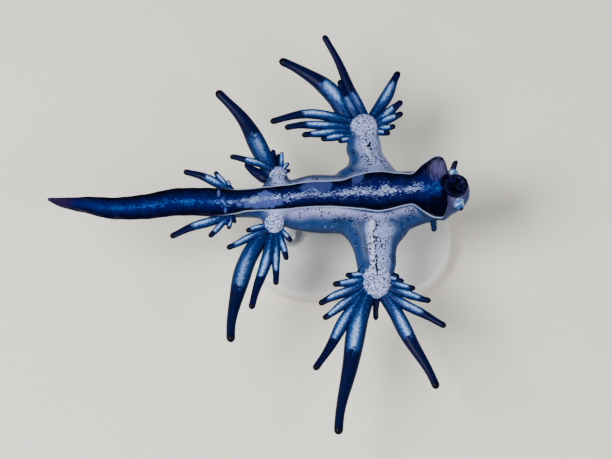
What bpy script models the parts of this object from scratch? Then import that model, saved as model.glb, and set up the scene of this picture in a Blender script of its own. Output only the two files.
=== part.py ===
"""Blue dragon sea slug, life size, floating belly up over a plain display stand.

Metres, +Z up. +X points to the head, +Y to the animal's right side, and the foot faces up.
The origin is at the centre of the stand's underside.
"""

from math import cos, pi, radians, sin
from typing import NamedTuple

import bmesh
import bpy
import numpy as np
from mathutils import Matrix, Vector

MM = 0.001
GAP = 0.3
FAR = 60.0

# Heights and the stand, in millimetres
FOOT_Z = 10.0
BASE_LENGTH = 17.0
BASE_WIDTH = 10.0
BASE_HEIGHT = 1.8
BASE_EDGE = 0.4
BASE_SIDES = 48
ROD_RADIUS = 0.6
ROD_SIDES = 20

# The body, from the tail's tip to the head
BODY_LENGTH = 35.3
TAIL_TIP_X = -25.2
FOOT_RIM = 0.35
BODY_RINGS = 40
FLANK_POINTS = 7

# Cuts that part the body, as distances from the tail's tip
CUTS = {
    "tail_tip": (-1.0, 4.2),
    "tail_middle": (4.2, 9.0),
    "tail_base": (9.0, 13.6),
    "body_rear": (13.6, 17.0),
    "body_middle": (17.0, 21.2),
    "body_front": (21.2, 30.4),
    "foot_collar": (30.4, 33.15),
}
HEAD_CUT = 33.15
HEAD_START = 32.0

# Where each arm leaves the body and where its pad begins, along Y
FRONT_LEFT_CUTS = (-2.05, -5.0)
FRONT_RIGHT_CUTS = (3.75, 6.3)
MIDDLE_LEFT_CUT = -1.15
MIDDLE_RIGHT_CUT = 2.1
REAR_LEFT_EDGE = -1.55
REAR_RIGHT_EDGE = 1.4

ARM_SIDES = 20
ARM_RINGS = 10
PAD_SEGMENTS = 16
PAD_RINGS = 8

# Cerata: how far each root lies inside its pad, and the places of the rings along a ceras
ROOT_SINK = 0.5
THINNEST = 0.5
CERAS_HEIGHT = 0.86
WIDE_CERAS = 0.8
WIDE_SIDES = 8
WIDE_PLACES = (0.0, 0.2, 0.38, 0.56, 0.76)
NARROW_SIDES = 6
NARROW_PLACES = (0.0, 0.3, 0.65)
ROOT_SHARE = 0.74
TAPER_END = 0.92
TIP_SHARE = 0.35

# The head: the places of its rings, the mouth in its round pocket, and the feelers
HEAD_PLACES = (32.0, 32.5, 33.0, 33.5, 34.0, 34.4, 34.75, 35.0, 35.2, 35.3)
HEAD_SIDES = 24
MOUTH_RADIUS = 0.8
MOUTH_CENTRE = (34.3, 1.28, 0.0)
MOUTH_PITCH = 10.0
MOUTH_SIDES = 28
MOUTH_PROFILE = (
    (0.93, -0.55),
    (1.0, -0.35),
    (1.0, -0.1),
    (0.82, 0.06),
    (0.6, 0.0),
    (0.4, -0.16),
    (0.2, -0.2),
)
POCKET_DEPTH = 0.85
FEELER_RADIUS = 0.29
FEELER_SIDES = 10
FEELER_PROFILE = ((1.15, 0.0), (1.1, 0.5), (1.0, 0.8), (0.6, 0.95), (0.2, 1.0))

NAVY = (0.01, 0.02, 0.09)
BLUE = (0.05, 0.16, 0.42)
SILVER_BLUE = (0.45, 0.53, 0.72)
BLACK_BLUE = (0.008, 0.008, 0.02)
STAND_WHITE = (0.82, 0.82, 0.8)
STEEL = (0.55, 0.56, 0.58)


class Station(NamedTuple):
    """One cross-section of the body, distances in millimetres."""

    along: float
    middle: float
    foot: float
    flank: float
    depth: float


class ArmStation(NamedTuple):
    """One cross-section of an arm: its place, half width, height below the foot and half height."""

    across: float
    middle: float
    half_width: float
    below: float
    half_height: float


class Ceras(NamedTuple):
    """One finger of a fan: its root and tip in X and Y, and its sideways bow.

    The rest are its width, its root's level, its tip's rise and the share of its length where it is
    widest.
    """

    root: tuple[float, float]
    tip: tuple[float, float]
    bow: float
    width: float
    level: float
    lift: float
    fullest: float


class Feeler(NamedTuple):
    """A tentacle: its start inside the flesh, direction, length and the hook at its end."""

    start: tuple[float, float, float]
    direction: tuple[float, float, float]
    length: float
    hook: tuple[float, float, float] = (0.0, 0.0, 0.0)


BODY = [
    Station(0.0, 0.15, 0.1, 0.08, 0.38),
    Station(0.65, -0.08, 0.34, 0.2, 0.5),
    Station(1.93, -0.25, 0.57, 0.34, 0.7),
    Station(3.2, -0.39, 0.75, 0.45, 0.9),
    Station(4.5, -0.59, 0.93, 0.55, 1.05),
    Station(5.8, -0.69, 1.01, 0.62, 1.18),
    Station(7.0, -0.66, 1.08, 0.66, 1.28),
    Station(8.3, -0.51, 1.16, 0.72, 1.4),
    Station(9.6, -0.29, 1.23, 0.78, 1.5),
    Station(10.9, -0.11, 1.27, 0.83, 1.62),
    Station(12.2, -0.07, 1.28, 0.86, 1.72),
    Station(14.1, -0.13, 1.28, 0.9, 1.85),
    Station(15.4, -0.09, 1.15, 0.95, 2.0),
    Station(16.7, 0.05, 1.05, 1.05, 2.2),
    Station(18.5, 0.22, 1.12, 1.35, 2.6),
    Station(20.2, 0.35, 1.16, 2.15, 3.2),
    Station(21.7, 0.58, 1.2, 2.5, 3.8),
    Station(24.5, 0.65, 1.28, 2.57, 4.3),
    Station(25.7, 0.82, 1.55, 2.6, 4.5),
    Station(27.7, 0.88, 1.85, 2.65, 4.7),
    Station(29.2, 0.98, 1.6, 2.6, 4.6),
    Station(30.3, 1.06, 1.45, 2.5, 4.4),
    Station(31.3, 1.2, 2.2, 2.3, 4.1),
    Station(32.5, 1.27, 2.86, 2.1, 3.8),
    Station(33.1, 1.17, 2.4, 1.95, 3.5),
]

# The head: distance along, middle, half width, top and bottom below the foot
HEAD = np.array(
    [
        (32.0, 0.95, 1.7, 0.7, 3.1),
        (33.0, 0.95, 1.95, 0.15, 3.3),
        (33.8, 1.2, 1.65, 0.05, 3.2),
        (34.4, 1.25, 1.38, 0.08, 2.9),
        (34.9, 1.28, 1.02, 0.2, 2.5),
        (35.2, 1.28, 0.62, 0.5, 2.0),
        (35.3, 1.28, 0.28, 0.9, 1.6),
    ]
)

FRONT_LEFT_ARM = [
    ArmStation(0.0, 2.2, 3.2, 2.5, 1.75),
    ArmStation(-1.7, 2.1, 2.8, 2.6, 1.6),
    ArmStation(-2.7, 2.05, 2.08, 2.7, 1.35),
    ArmStation(-3.6, 2.1, 1.78, 2.8, 1.15),
    ArmStation(-4.6, 2.2, 1.65, 2.9, 1.0),
    ArmStation(-5.3, 2.2, 1.5, 2.9, 0.9),
    ArmStation(-6.2, 2.25, 1.2, 2.9, 0.75),
]
FRONT_RIGHT_ARM = [
    ArmStation(2.0, 1.5, 3.2, 2.5, 1.75),
    ArmStation(3.4, 1.45, 2.7, 2.6, 1.6),
    ArmStation(4.2, 1.65, 1.95, 2.7, 1.35),
    ArmStation(5.1, 1.46, 1.56, 2.8, 1.1),
    ArmStation(5.8, 1.2, 1.5, 2.9, 1.0),
    ArmStation(6.6, 1.18, 1.4, 2.9, 0.9),
    ArmStation(7.6, 1.17, 1.15, 2.9, 0.75),
]
MIDDLE_LEFT_ARM = [
    ArmStation(0.3, -5.7, 2.3, 1.3, 1.0),
    ArmStation(-0.7, -6.0, 1.8, 1.25, 0.95),
    ArmStation(-1.2, -6.2, 1.25, 1.2, 0.85),
    ArmStation(-1.8, -6.33, 0.9, 1.2, 0.7),
    ArmStation(-2.3, -6.33, 0.6, 1.2, 0.5),
]
MIDDLE_RIGHT_ARM = [
    ArmStation(0.3, -5.6, 2.2, 1.3, 1.0),
    ArmStation(1.5, -5.9, 1.7, 1.25, 0.95),
    ArmStation(2.1, -6.0, 1.1, 1.2, 0.8),
    ArmStation(2.7, -6.0, 0.8, 1.2, 0.65),
    ArmStation(3.2, -6.0, 0.5, 1.2, 0.5),
]

# Each pad: X, Y, depth below the foot, radius and half height
FRONT_LEFT_PAD = (2.25, -6.37, 2.9, 1.3, 0.8)
FRONT_RIGHT_PAD = (1.17, 7.86, 2.9, 1.3, 0.8)
MIDDLE_LEFT_PAD = (-6.33, -1.9, 1.2, 0.88, 0.65)
MIDDLE_RIGHT_PAD = (-6.0, 2.85, 1.2, 0.8, 0.6)
REAR_LEFT_PAD = (-10.2, -1.75, 0.75, 0.5, 0.4)
REAR_RIGHT_PAD = (-10.1, 1.6, 0.75, 0.45, 0.4)

FRONT_LEFT_CERATA = [
    Ceras((1.33, -5.38), (0.57, -5.32), 0, 0.53, 0.1, 0.1, 0.42),
    Ceras((1.19, -5.66), (-0.39, -5.70), 0, 0.6, 0.15, 0.2, 0.52),
    Ceras((1.14, -6.18), (-1.44, -6.59), -0.06, 0.77, 0.15, 0.2, 0.56),
    Ceras((1.05, -6.58), (-2.59, -8.35), -0.13, 0.85, 0.1, 0.2, 0.56),
    Ceras((1.00, -6.91), (-2.25, -9.62), 0.11, 0.85, 0, 0.2, 0.56),
    Ceras((1.03, -7.25), (-2.97, -14.26), -0.01, 1.1, -0.2, 0.4, 0.43),
    Ceras((1.54, -7.45), (-0.98, -20.10), -0.43, 1.65, -0.35, 0.6, 0.31),
    Ceras((2.19, -7.31), (2.15, -9.08), 0, 0.58, -0.35, -1, 0.28),
    Ceras((2.83, -7.45), (7.22, -15.93), 0.22, 1.32, -0.25, 0.4, 0.35),
    Ceras((3.29, -7.22), (7.98, -10.34), -0.11, 0.88, -0.05, 0.3, 0.43),
    Ceras((3.48, -6.85), (6.74, -8.05), -0.09, 0.77, 0.12, 0.2, 0.52),
    Ceras((3.48, -6.39), (5.45, -6.96), 0, 0.63, 0.15, 0.2, 0.56),
    Ceras((3.48, -5.91), (4.49, -6.27), 0, 0.53, 0.12, 0.1, 0.42),
    Ceras((3.44, -5.55), (4.12, -5.82), 0, 0.5, 0.1, 0.1, 0.35),
]
FRONT_RIGHT_CERATA = [
    Ceras((-0.12, 6.81), (-1.00, 6.60), 0, 0.57, 0.1, 0.1, 0.56),
    Ceras((-0.21, 6.99), (-2.43, 6.72), -0.08, 0.68, 0.15, 0.2, 0.56),
    Ceras((-0.27, 7.42), (-4.02, 7.09), -0.15, 0.77, 0.1, 0.2, 0.56),
    Ceras((-0.29, 7.82), (-5.46, 7.77), -0.31, 0.82, 0.15, 0.2, 0.48),
    Ceras((-0.12, 8.29), (-6.67, 8.29), -0.77, 0.91, 0.05, 0.3, 0.42),
    Ceras((-0.58, 8.86), (-5.93, 14.02), -1.01, 1.57, -0.3, 0.6, 0.35),
    Ceras((0.62, 9.14), (-0.85, 12.28), 0.17, 1.03, -0.1, 0.3, 0.42),
    Ceras((1.12, 9.23), (-2.18, 16.16), -0.04, 0.87, 0.1, 0.6, 0.28),
    Ceras((2.08, 9.34), (4.13, 13.07), -0.09, 1.07, -0.25, 0.4, 0.52),
    Ceras((2.42, 8.77), (4.40, 10.28), -0.11, 0.87, 0, 0.3, 0.49),
    Ceras((2.50, 8.25), (4.45, 9.16), -0.02, 0.77, 0.15, 0.2, 0.52),
    Ceras((2.62, 7.77), (3.85, 7.97), 0, 0.63, 0.15, 0.1, 0.52),
    Ceras((2.62, 7.45), (3.40, 7.31), 0, 0.57, 0.1, 0.1, 0.42),
]
MIDDLE_LEFT_CERATA = [
    Ceras((-7.04, -1.84), (-8.68, -2.38), 0, 0.53, 0.1, 0.1, 0.56),
    Ceras((-7.00, -2.36), (-10.27, -4.03), -0.04, 0.68, 0.15, 0.2, 0.56),
    Ceras((-6.92, -2.66), (-9.88, -12.52), -0.99, 1.55, -0.3, 0.6, 0.39),
    Ceras((-6.54, -2.89), (-8.22, -9.57), 0.02, 0.98, 0, 0.4, 0.42),
    Ceras((-6.21, -2.91), (-6.20, -7.38), 0.08, 0.73, 0.05, 0.3, 0.52),
    Ceras((-5.79, -2.84), (-5.28, -5.07), 0, 0.63, 0.1, 0.2, 0.55),
    Ceras((-5.50, -2.57), (-4.87, -3.35), 0, 0.52, 0.1, 0.1, 0.49),
]
MIDDLE_RIGHT_CERATA = [
    Ceras((-6.88, 3.52), (-11.17, 10.44), -0.53, 1.58, -0.25, 0.5, 0.29),
    Ceras((-7.04, 2.93), (-8.71, 4.24), 0.25, 1.04, -0.35, -0.3, 0.28),
    Ceras((-6.88, 3.25), (-10.03, 4.31), -0.24, 0.65, 0.25, 0.2, 0.48),
    Ceras((-6.28, 3.55), (-6.43, 5.06), 0, 0.5, 0.1, 0.1, 0.28),
    Ceras((-5.98, 3.66), (-5.95, 4.79), 0, 0.47, -0.15, 0.1, 0.28),
    Ceras((-5.76, 3.48), (-5.68, 4.82), 0, 0.45, 0.15, 0.1, 0.56),
    Ceras((-5.53, 3.36), (-5.11, 3.88), 0, 0.43, 0.1, 0.1, 0.56),
    Ceras((-5.46, 3.07), (-4.96, 3.22), 0, 0.42, 0.05, 0.1, 0.49),
]
REAR_LEFT_CERATA = [
    Ceras((-10.46, -1.26), (-14.98, -3.08), -0.16, 0.83, 0, 0.2, 0.43),
    Ceras((-10.25, -1.42), (-11.75, -3.06), 0, 0.57, 0.05, 0.1, 0.56),
    Ceras((-9.96, -1.44), (-10.12, -2.34), 0, 0.45, 0, 0.1, 0.56),
    Ceras((-9.71, -1.29), (-9.54, -1.70), 0, 0.42, -0.05, 0, 0.28),
]
REAR_RIGHT_CERATA = [
    Ceras((-10.46, 1.47), (-13.90, 2.91), -0.2, 0.8, 0, 0.2, 0.41),
    Ceras((-10.25, 1.50), (-11.28, 2.93), 0, 0.52, 0.05, 0.1, 0.56),
    Ceras((-10.04, 1.52), (-10.20, 2.15), 0, 0.43, 0, 0.1, 0.56),
]

# The horns at the head, and where the stretch of body that they are parted from begins
COLLAR_START = 26.0
FEELERS = {
    "oral_tentacle_left": Feeler((34.2, 0.1, -0.9), (0.3, -0.7, 0.35), 1.15),
    "oral_tentacle_right": Feeler((33.7, 2.2, -1.0), (-0.02, 0.85, 0.25), 1.75, (0.42, 0.0, 0.1)),
    "rhinophore_left": Feeler((32.1, -0.2, -2.4), (0.1, -0.85, -0.5), 1.6),
    "rhinophore_right": Feeler((32.1, 2.56, -2.4), (0.1, 0.85, -0.5), 1.6),
}

# Where each rod stands, in X and Y from the origin; it ends just under the body
RODS = {"stand_rod_front": (3.0, 0.85), "stand_rod_rear": (-5.0, 0.4)}


def clear_scene():
    """Starts from an empty scene."""
    for thing in list(bpy.data.objects):
        bpy.data.objects.remove(thing, do_unlink=True)


def finish(name, colour, roughness, metallic=0.0):
    """A Principled material with the part's colour, roughness and metallic value."""
    material = bpy.data.materials.new(name)
    material.use_nodes = True
    shader = material.node_tree.nodes["Principled BSDF"]
    shader.inputs["Base Color"].default_value = (*colour, 1.0)
    shader.inputs["Roughness"].default_value = roughness
    shader.inputs["Metallic"].default_value = metallic
    return material


def smooth_table(table, places):
    """Reads each column of the table at the places, smoothly and with no overshoot."""
    table = np.asarray(table, float)
    along = table[:, 0]
    step = np.diff(along)
    columns = [np.asarray(places, float)]
    for values in table[:, 1:].T:
        slope = np.diff(values) / step
        tangent = np.concatenate([slope[:1], (slope[:-1] + slope[1:]) / 2, slope[-1:]])
        turns = slope[:-1] * slope[1:] <= 0
        tangent[1:-1][turns] = 0.0
        i = np.clip(np.searchsorted(along, places, side="right") - 1, 0, len(step) - 1)
        t = (np.asarray(places) - along[i]) / step[i]
        columns.append(
            (1 + 2 * t) * (1 - t) ** 2 * values[i]
            + t * (1 - t) ** 2 * step[i] * tangent[i]
            + t * t * (3 - 2 * t) * values[i + 1]
            + t * t * (t - 1) * step[i] * tangent[i + 1]
        )
    return np.array(columns).T


def closed_loft(name, rings):
    """One closed mesh through the rings, in millimetres, with each end filled by a fan."""
    rings = np.asarray(rings, float)
    count, sides = rings.shape[:2]
    ends = [rings[0].mean(axis=0), rings[-1].mean(axis=0)]
    points = np.vstack([rings.reshape(-1, 3), ends]) * MM
    faces = []
    for ring in range(count - 1):
        for side in range(sides):
            a = ring * sides + side
            b = ring * sides + (side + 1) % sides
            faces += [(a, b, b + sides), (a, b + sides, a + sides)]
    first, last = count * sides, count * sides + 1
    for side in range(sides):
        a, b = side, (side + 1) % sides
        faces.append((first, b, a))
        faces.append((last, a + (count - 1) * sides, b + (count - 1) * sides))
    mesh = bpy.data.meshes.new(name)
    mesh.from_pydata(points.tolist(), [], faces)
    shell = bmesh.new()
    shell.from_mesh(mesh)
    bmesh.ops.recalc_face_normals(shell, faces=shell.faces)
    shell.to_mesh(mesh)
    shell.free()
    return place_object(name, mesh)


def place_object(name, mesh):
    """Puts a mesh into the scene as an object."""
    thing = bpy.data.objects.new(name, mesh)
    bpy.context.scene.collection.objects.link(thing)
    return thing


def body_section(station, grow):
    """The ring at one station: a flat foot with a thin rim over a round flank and back."""
    foot, flank = station[2] + grow, station[3] + grow
    depth = station[4] + grow
    top = FOOT_Z + grow
    rim = min(FOOT_RIM, 0.5 * station[4]) + 2 * grow
    half_height = (depth + grow - rim) / 2
    middle_z = top - rim - half_height
    start = np.arccos(np.clip((foot - 0.2) / flank, 0.3, 0.95))
    turn = np.linspace(start, -pi / 2, FLANK_POINTS)
    side = [(0.5 * foot, top), (foot - 0.35 * rim, top), (foot, top - rim / 2)]
    side.append((foot - 0.3 * rim, top - rim * 0.98))
    side += list(zip(flank * np.cos(turn[:-1]), middle_z + half_height * np.sin(turn[:-1])))
    right = [(0.0, top)] + side + [(0.0, middle_z - half_height)]
    left = [(-y, z) for y, z in reversed(side)]
    x = station[0] + TAIL_TIP_X
    return [(x, station[1] + y, z) for y, z in right + left]


def body_solid(name, grow=0.0, start=0.0):
    """The foot, flanks and back from a place along it to the collar, grown by some millimetres."""
    places = np.linspace(start, BODY[-1].along, BODY_RINGS)
    rings = [body_section(station, grow) for station in smooth_table(BODY, places)]
    return closed_loft(name, rings)


def head_solid(name, grow=0.0):
    """A blunt round head, each section an ellipse between its top and its bottom."""
    rings = []
    turn = np.linspace(0, 2 * pi, HEAD_SIDES, endpoint=False)
    for along, middle, half_width, top, bottom in smooth_table(HEAD, np.array(HEAD_PLACES)):
        x = along + TAIL_TIP_X + grow * (along - HEAD_START) / (BODY_LENGTH - HEAD_START)
        y = middle + (half_width + grow) * np.cos(turn)
        z = FOOT_Z - (top + bottom) / 2 + ((bottom - top) / 2 + grow) * np.sin(turn)
        rings.append(np.stack([np.full_like(y, x), y, z], axis=1))
    return closed_loft(name, rings)


def arm_solid(name, stations):
    """A flattened limb carried along Y, each section an ellipse."""
    places = np.linspace(0, 1, ARM_RINGS)
    rows = np.array([(i / (len(stations) - 1), *station) for i, station in enumerate(stations)])
    turn = np.linspace(0, 2 * pi, ARM_SIDES, endpoint=False)
    rings = []
    for _, y, middle, half_width, below, half_height in smooth_table(rows, places):
        x = middle + half_width * np.cos(turn)
        z = FOOT_Z - below + half_height * np.sin(turn)
        rings.append(np.stack([x, np.full_like(x, y), z], axis=1))
    return closed_loft(name, rings)


def pad_solid(name, pad):
    """The swollen end of an arm, a flattened ball."""
    x, y, below, radius, half_height = pad
    ball = bmesh.new()
    bmesh.ops.create_uvsphere(ball, u_segments=PAD_SEGMENTS, v_segments=PAD_RINGS, radius=1.0)
    bmesh.ops.scale(ball, vec=Vector((radius, radius, half_height)) * MM, verts=ball.verts)
    bmesh.ops.translate(ball, vec=Vector((x, y, FOOT_Z - below)) * MM, verts=ball.verts)
    mesh = bpy.data.meshes.new(name)
    ball.to_mesh(mesh)
    ball.free()
    return place_object(name, mesh)


def ramp(value, low, high):
    """Runs smoothly from 0 at the low value to 1 at the high value."""
    t = np.clip((value - low) / (high - low), 0, 1)
    return t * t * (3 - 2 * t)


def ceras_places(width, length, fullest):
    """The places of a ceras's rings as shares of its length, and its full width's share at each."""
    end = float(np.clip(0.3 + 0.29 / width, 0.45, 0.85))
    cap = 0.6 * end * width / length
    places = np.array([*(WIDE_PLACES if width >= WIDE_CERAS else NARROW_PLACES), 1 - cap, 1.0])
    girth = ROOT_SHARE + (1 - ROOT_SHARE) * ramp(places, -0.12, fullest)
    girth = girth * (1 - (1 - end) * ramp(places, fullest, TAPER_END))
    girth[-1] = TIP_SHARE * end
    return places, girth


def ceras_solid(name, ceras, pad):
    """One tapered finger from inside the pad's rim out to its blunt tip."""
    width = max(ceras.width, THINNEST)
    sides = WIDE_SIDES if width >= WIDE_CERAS else NARROW_SIDES
    root, tip = np.array([*ceras.root, 0.0]), np.array([*ceras.tip, 0.0])
    reach = float(np.linalg.norm(tip - root))
    forward = (tip - root) / reach
    sideways = np.array([-forward[1], forward[0], 0.0])
    sink = ROOT_SINK + width / 4
    places, girth = ceras_places(width, reach + sink, ceras.fullest)
    bow = 4 * ceras.bow * places * (1 - places)
    centres = root + np.outer(places * (reach + sink) - sink, forward) + np.outer(bow, sideways)
    centres[:, 2] = FOOT_Z - pad[2] + ceras.level + ceras.lift * places**1.5
    around = np.linspace(0, 2 * pi, sides, endpoint=False)
    upward = np.array([0.0, 0.0, CERAS_HEIGHT])
    section = np.outer(np.cos(around), sideways) + np.outer(np.sin(around), upward)
    rings = [centre + width / 2 * share * section for centre, share in zip(centres, girth)]
    return closed_loft(name, rings)


def box_solid(name, low, high):
    """A plain block between two corners, used to part the body."""
    low, high = np.array(low, float), np.array(high, float)
    corners = [(low[0], low[1]), (high[0], low[1]), (high[0], high[1]), (low[0], high[1])]
    rings = [[(x, y, z) for x, y in corners] for z in (low[2], high[2])]
    return closed_loft(name, rings)


def applied(thing, name):
    """A new object with the thing's evaluated mesh."""
    graph = bpy.context.evaluated_depsgraph_get()
    mesh = bpy.data.meshes.new_from_object(thing.evaluated_get(graph))
    bpy.data.objects.remove(thing, do_unlink=True)
    return place_object(name, mesh)


def join(name, pieces):
    """One Boolean union of closed pieces, which are then removed."""
    group = bpy.data.collections.new(name + "_pieces")
    bpy.context.scene.collection.children.link(group)
    for piece in pieces[1:]:
        bpy.context.scene.collection.objects.unlink(piece)
        group.objects.link(piece)
    union = pieces[0].modifiers.new("union", "BOOLEAN")
    union.operation = "UNION"
    union.solver = "EXACT"
    union.operand_type = "COLLECTION"
    union.collection = group
    joined = applied(pieces[0], name)
    for piece in list(group.objects):
        bpy.data.objects.remove(piece, do_unlink=True)
    bpy.data.collections.remove(group)
    return keep_largest(joined)


def boolean(thing, other, operation):
    """The thing cut by, or kept within, the other object, which is then removed."""
    cut = thing.modifiers.new("cut", "BOOLEAN")
    cut.operation = operation
    cut.solver = "EXACT"
    cut.object = other
    result = applied(thing, thing.name)
    bpy.data.objects.remove(other, do_unlink=True)
    return keep_largest(result)


def keep_largest(thing):
    """Leaves only the largest closed surface of the thing's mesh."""
    shell = bmesh.new()
    shell.from_mesh(thing.data)
    bmesh.ops.triangulate(shell, faces=shell.faces)
    bmesh.ops.remove_doubles(shell, verts=shell.verts, dist=0.002 * MM)
    bmesh.ops.dissolve_degenerate(shell, edges=shell.edges, dist=0.002 * MM)
    left = set(shell.verts)
    islands = []
    while left:
        found, edge = set(), [left.pop()]
        while edge:
            vertex = edge.pop()
            found.add(vertex)
            for line in vertex.link_edges:
                other = line.other_vert(vertex)
                if other in left:
                    left.discard(other)
                    edge.append(other)
        islands.append(found)
    islands.sort(key=surface_of)
    for island in islands[:-1]:
        bmesh.ops.delete(shell, geom=list(island), context="VERTS")
    bmesh.ops.triangulate(shell, faces=shell.faces)
    shell.to_mesh(thing.data)
    shell.free()
    return thing


def surface_of(island):
    """The area of the faces that touch an island's points."""
    faces = {face for vertex in island for face in vertex.link_faces}
    return sum(face.calc_area() for face in faces)


def copy_of(thing, name):
    """A second object with its own mesh."""
    return place_object(name, thing.data.copy())


def dress(thing, name, material, crease=40):
    """Names a finished sub-part, gives it its material and shades it smooth."""
    thing.name = name
    thing.data.name = name
    thing.data.materials.clear()
    thing.data.materials.append(material)
    thing.data.shade_smooth()
    thing.data.set_sharp_from_angle(angle=radians(crease))
    return thing


def within(thing, name, low, high):
    """A copy of the thing kept between two corners."""
    return boolean(copy_of(thing, name), box_solid("block", low, high), "INTERSECT")


def part_body(whole, skin):
    """The trunk, the tail's lengths and the collar, parted by thin cuts across X."""
    sides = {
        "body_front": (FRONT_LEFT_CUTS[0], FRONT_RIGHT_CUTS[0]),
        "body_middle": (MIDDLE_LEFT_CUT, MIDDLE_RIGHT_CUT),
    }
    for name, (start, end) in CUTS.items():
        left, right = sides.get(name, (-FAR, FAR))
        low = (start + TAIL_TIP_X + GAP / 2, left, -FAR)
        high = (end + TAIL_TIP_X - GAP / 2, right, FAR)
        dress(within(whole, name, low, high), name, skin)


def make_head(skin, mouth_finish):
    """The head with a round pocket, and the mouth that lies in it."""
    head = head_solid("head")
    cut_x = HEAD_CUT + TAIL_TIP_X + GAP / 2
    head = boolean(head, box_solid("block", (cut_x, -FAR, -FAR), (FAR, FAR, FAR)), "INTERSECT")
    turn = Matrix.Rotation(radians(MOUTH_PITCH), 4, "Y")
    centre = Vector((MOUTH_CENTRE[0] + TAIL_TIP_X, MOUTH_CENTRE[1], FOOT_Z + MOUTH_CENTRE[2]))
    wall = MOUTH_RADIUS + GAP
    pocket = turned("pocket", [(wall, -POCKET_DEPTH), (wall, FAR)], MOUTH_SIDES, centre, turn)
    dress(boolean(head, pocket, "DIFFERENCE"), "head", skin)
    profile = [(MOUTH_RADIUS * share, height) for share, height in MOUTH_PROFILE]
    dress(turned("mouth", profile, MOUTH_SIDES, centre, turn), "mouth", mouth_finish)


def turned(name, profile, sides, centre, turn):
    """A solid of revolution about a tilted axis, from radii and heights in millimetres."""
    around = np.linspace(0, 2 * pi, sides, endpoint=False)
    rings = [
        [centre + turn @ Vector((radius * cos(a), radius * sin(a), height)) for a in around]
        for radius, height in profile
    ]
    return closed_loft(name, [[tuple(point) for point in ring] for ring in rings])


def feeler_solid(name, feeler):
    """A short blunt horn along its direction, drawn aside by its hook towards the end."""
    axis = Vector(feeler.direction).normalized()
    side = axis.orthogonal().normalized()
    over = axis.cross(side)
    start = Vector((feeler.start[0] + TAIL_TIP_X, feeler.start[1], FOOT_Z + feeler.start[2]))
    rings = []
    for share, along in FEELER_PROFILE:
        centre = start + axis * feeler.length * along + Vector(feeler.hook) * along**2
        radius = FEELER_RADIUS * share
        turns = np.linspace(0, 2 * pi, FEELER_SIDES, endpoint=False)
        rings.append([tuple(centre + (side * cos(a) + over * sin(a)) * radius) for a in turns])
    return closed_loft(name, rings)


def make_feelers(material):
    """The two oral tentacles and the two rhinophores, each meeting the skin face to face."""
    for name, feeler in FEELERS.items():
        horn = boolean(feeler_solid(name, feeler), head_solid("skin", GAP), "DIFFERENCE")
        collar = body_solid("skin", GAP, COLLAR_START)
        dress(boolean(horn, collar, "DIFFERENCE"), name, material)


def make_fan(name, arm, pad, cerata, low, high, material):
    """A pad with its cerata, joined and parted from the arm by one thin cut."""
    pieces = [pad_solid("pad", pad)] + ([arm] if arm else [])
    pieces += [ceras_solid("ceras", ceras, pad) for ceras in cerata]
    fan = join(name, pieces)
    fan = boolean(fan, box_solid("block", low, high), "INTERSECT")
    dress(fan, name, material)


def make_stand(body, base_finish, rod_finish):
    """A flat oval base and two rods that stop just short of the animal's underside."""
    corner = BASE_WIDTH / 2
    straight = BASE_LENGTH / 2 - corner
    outline = []
    for angle in np.linspace(0, 2 * pi, BASE_SIDES, endpoint=False):
        middle = straight if cos(angle) >= 0 else -straight
        outline.append((middle, corner * cos(angle), corner * sin(angle)))
    shoulder = BASE_HEIGHT - BASE_EDGE
    heights = [(BASE_EDGE, 0.0), (0.0, BASE_EDGE), (0.0, shoulder), (BASE_EDGE, BASE_HEIGHT)]
    rings = [
        [(middle + x * (1 - inset / corner), y * (1 - inset / corner), z) for middle, x, y in outline]
        for inset, z in heights
    ]
    dress(closed_loft("stand_base", rings), "stand_base", base_finish)
    for name, (x, y) in RODS.items():
        _, underside, *_ = body.ray_cast(Vector((x, y, 0)) * MM, Vector((0, 0, 1)))
        profile = [(ROD_RADIUS, BASE_HEIGHT + GAP), (ROD_RADIUS, underside.z / MM - GAP)]
        rod = turned(name, profile, ROD_SIDES, Vector((x, y, 0)), Matrix.Identity(4))
        dress(rod, name, rod_finish)


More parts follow.
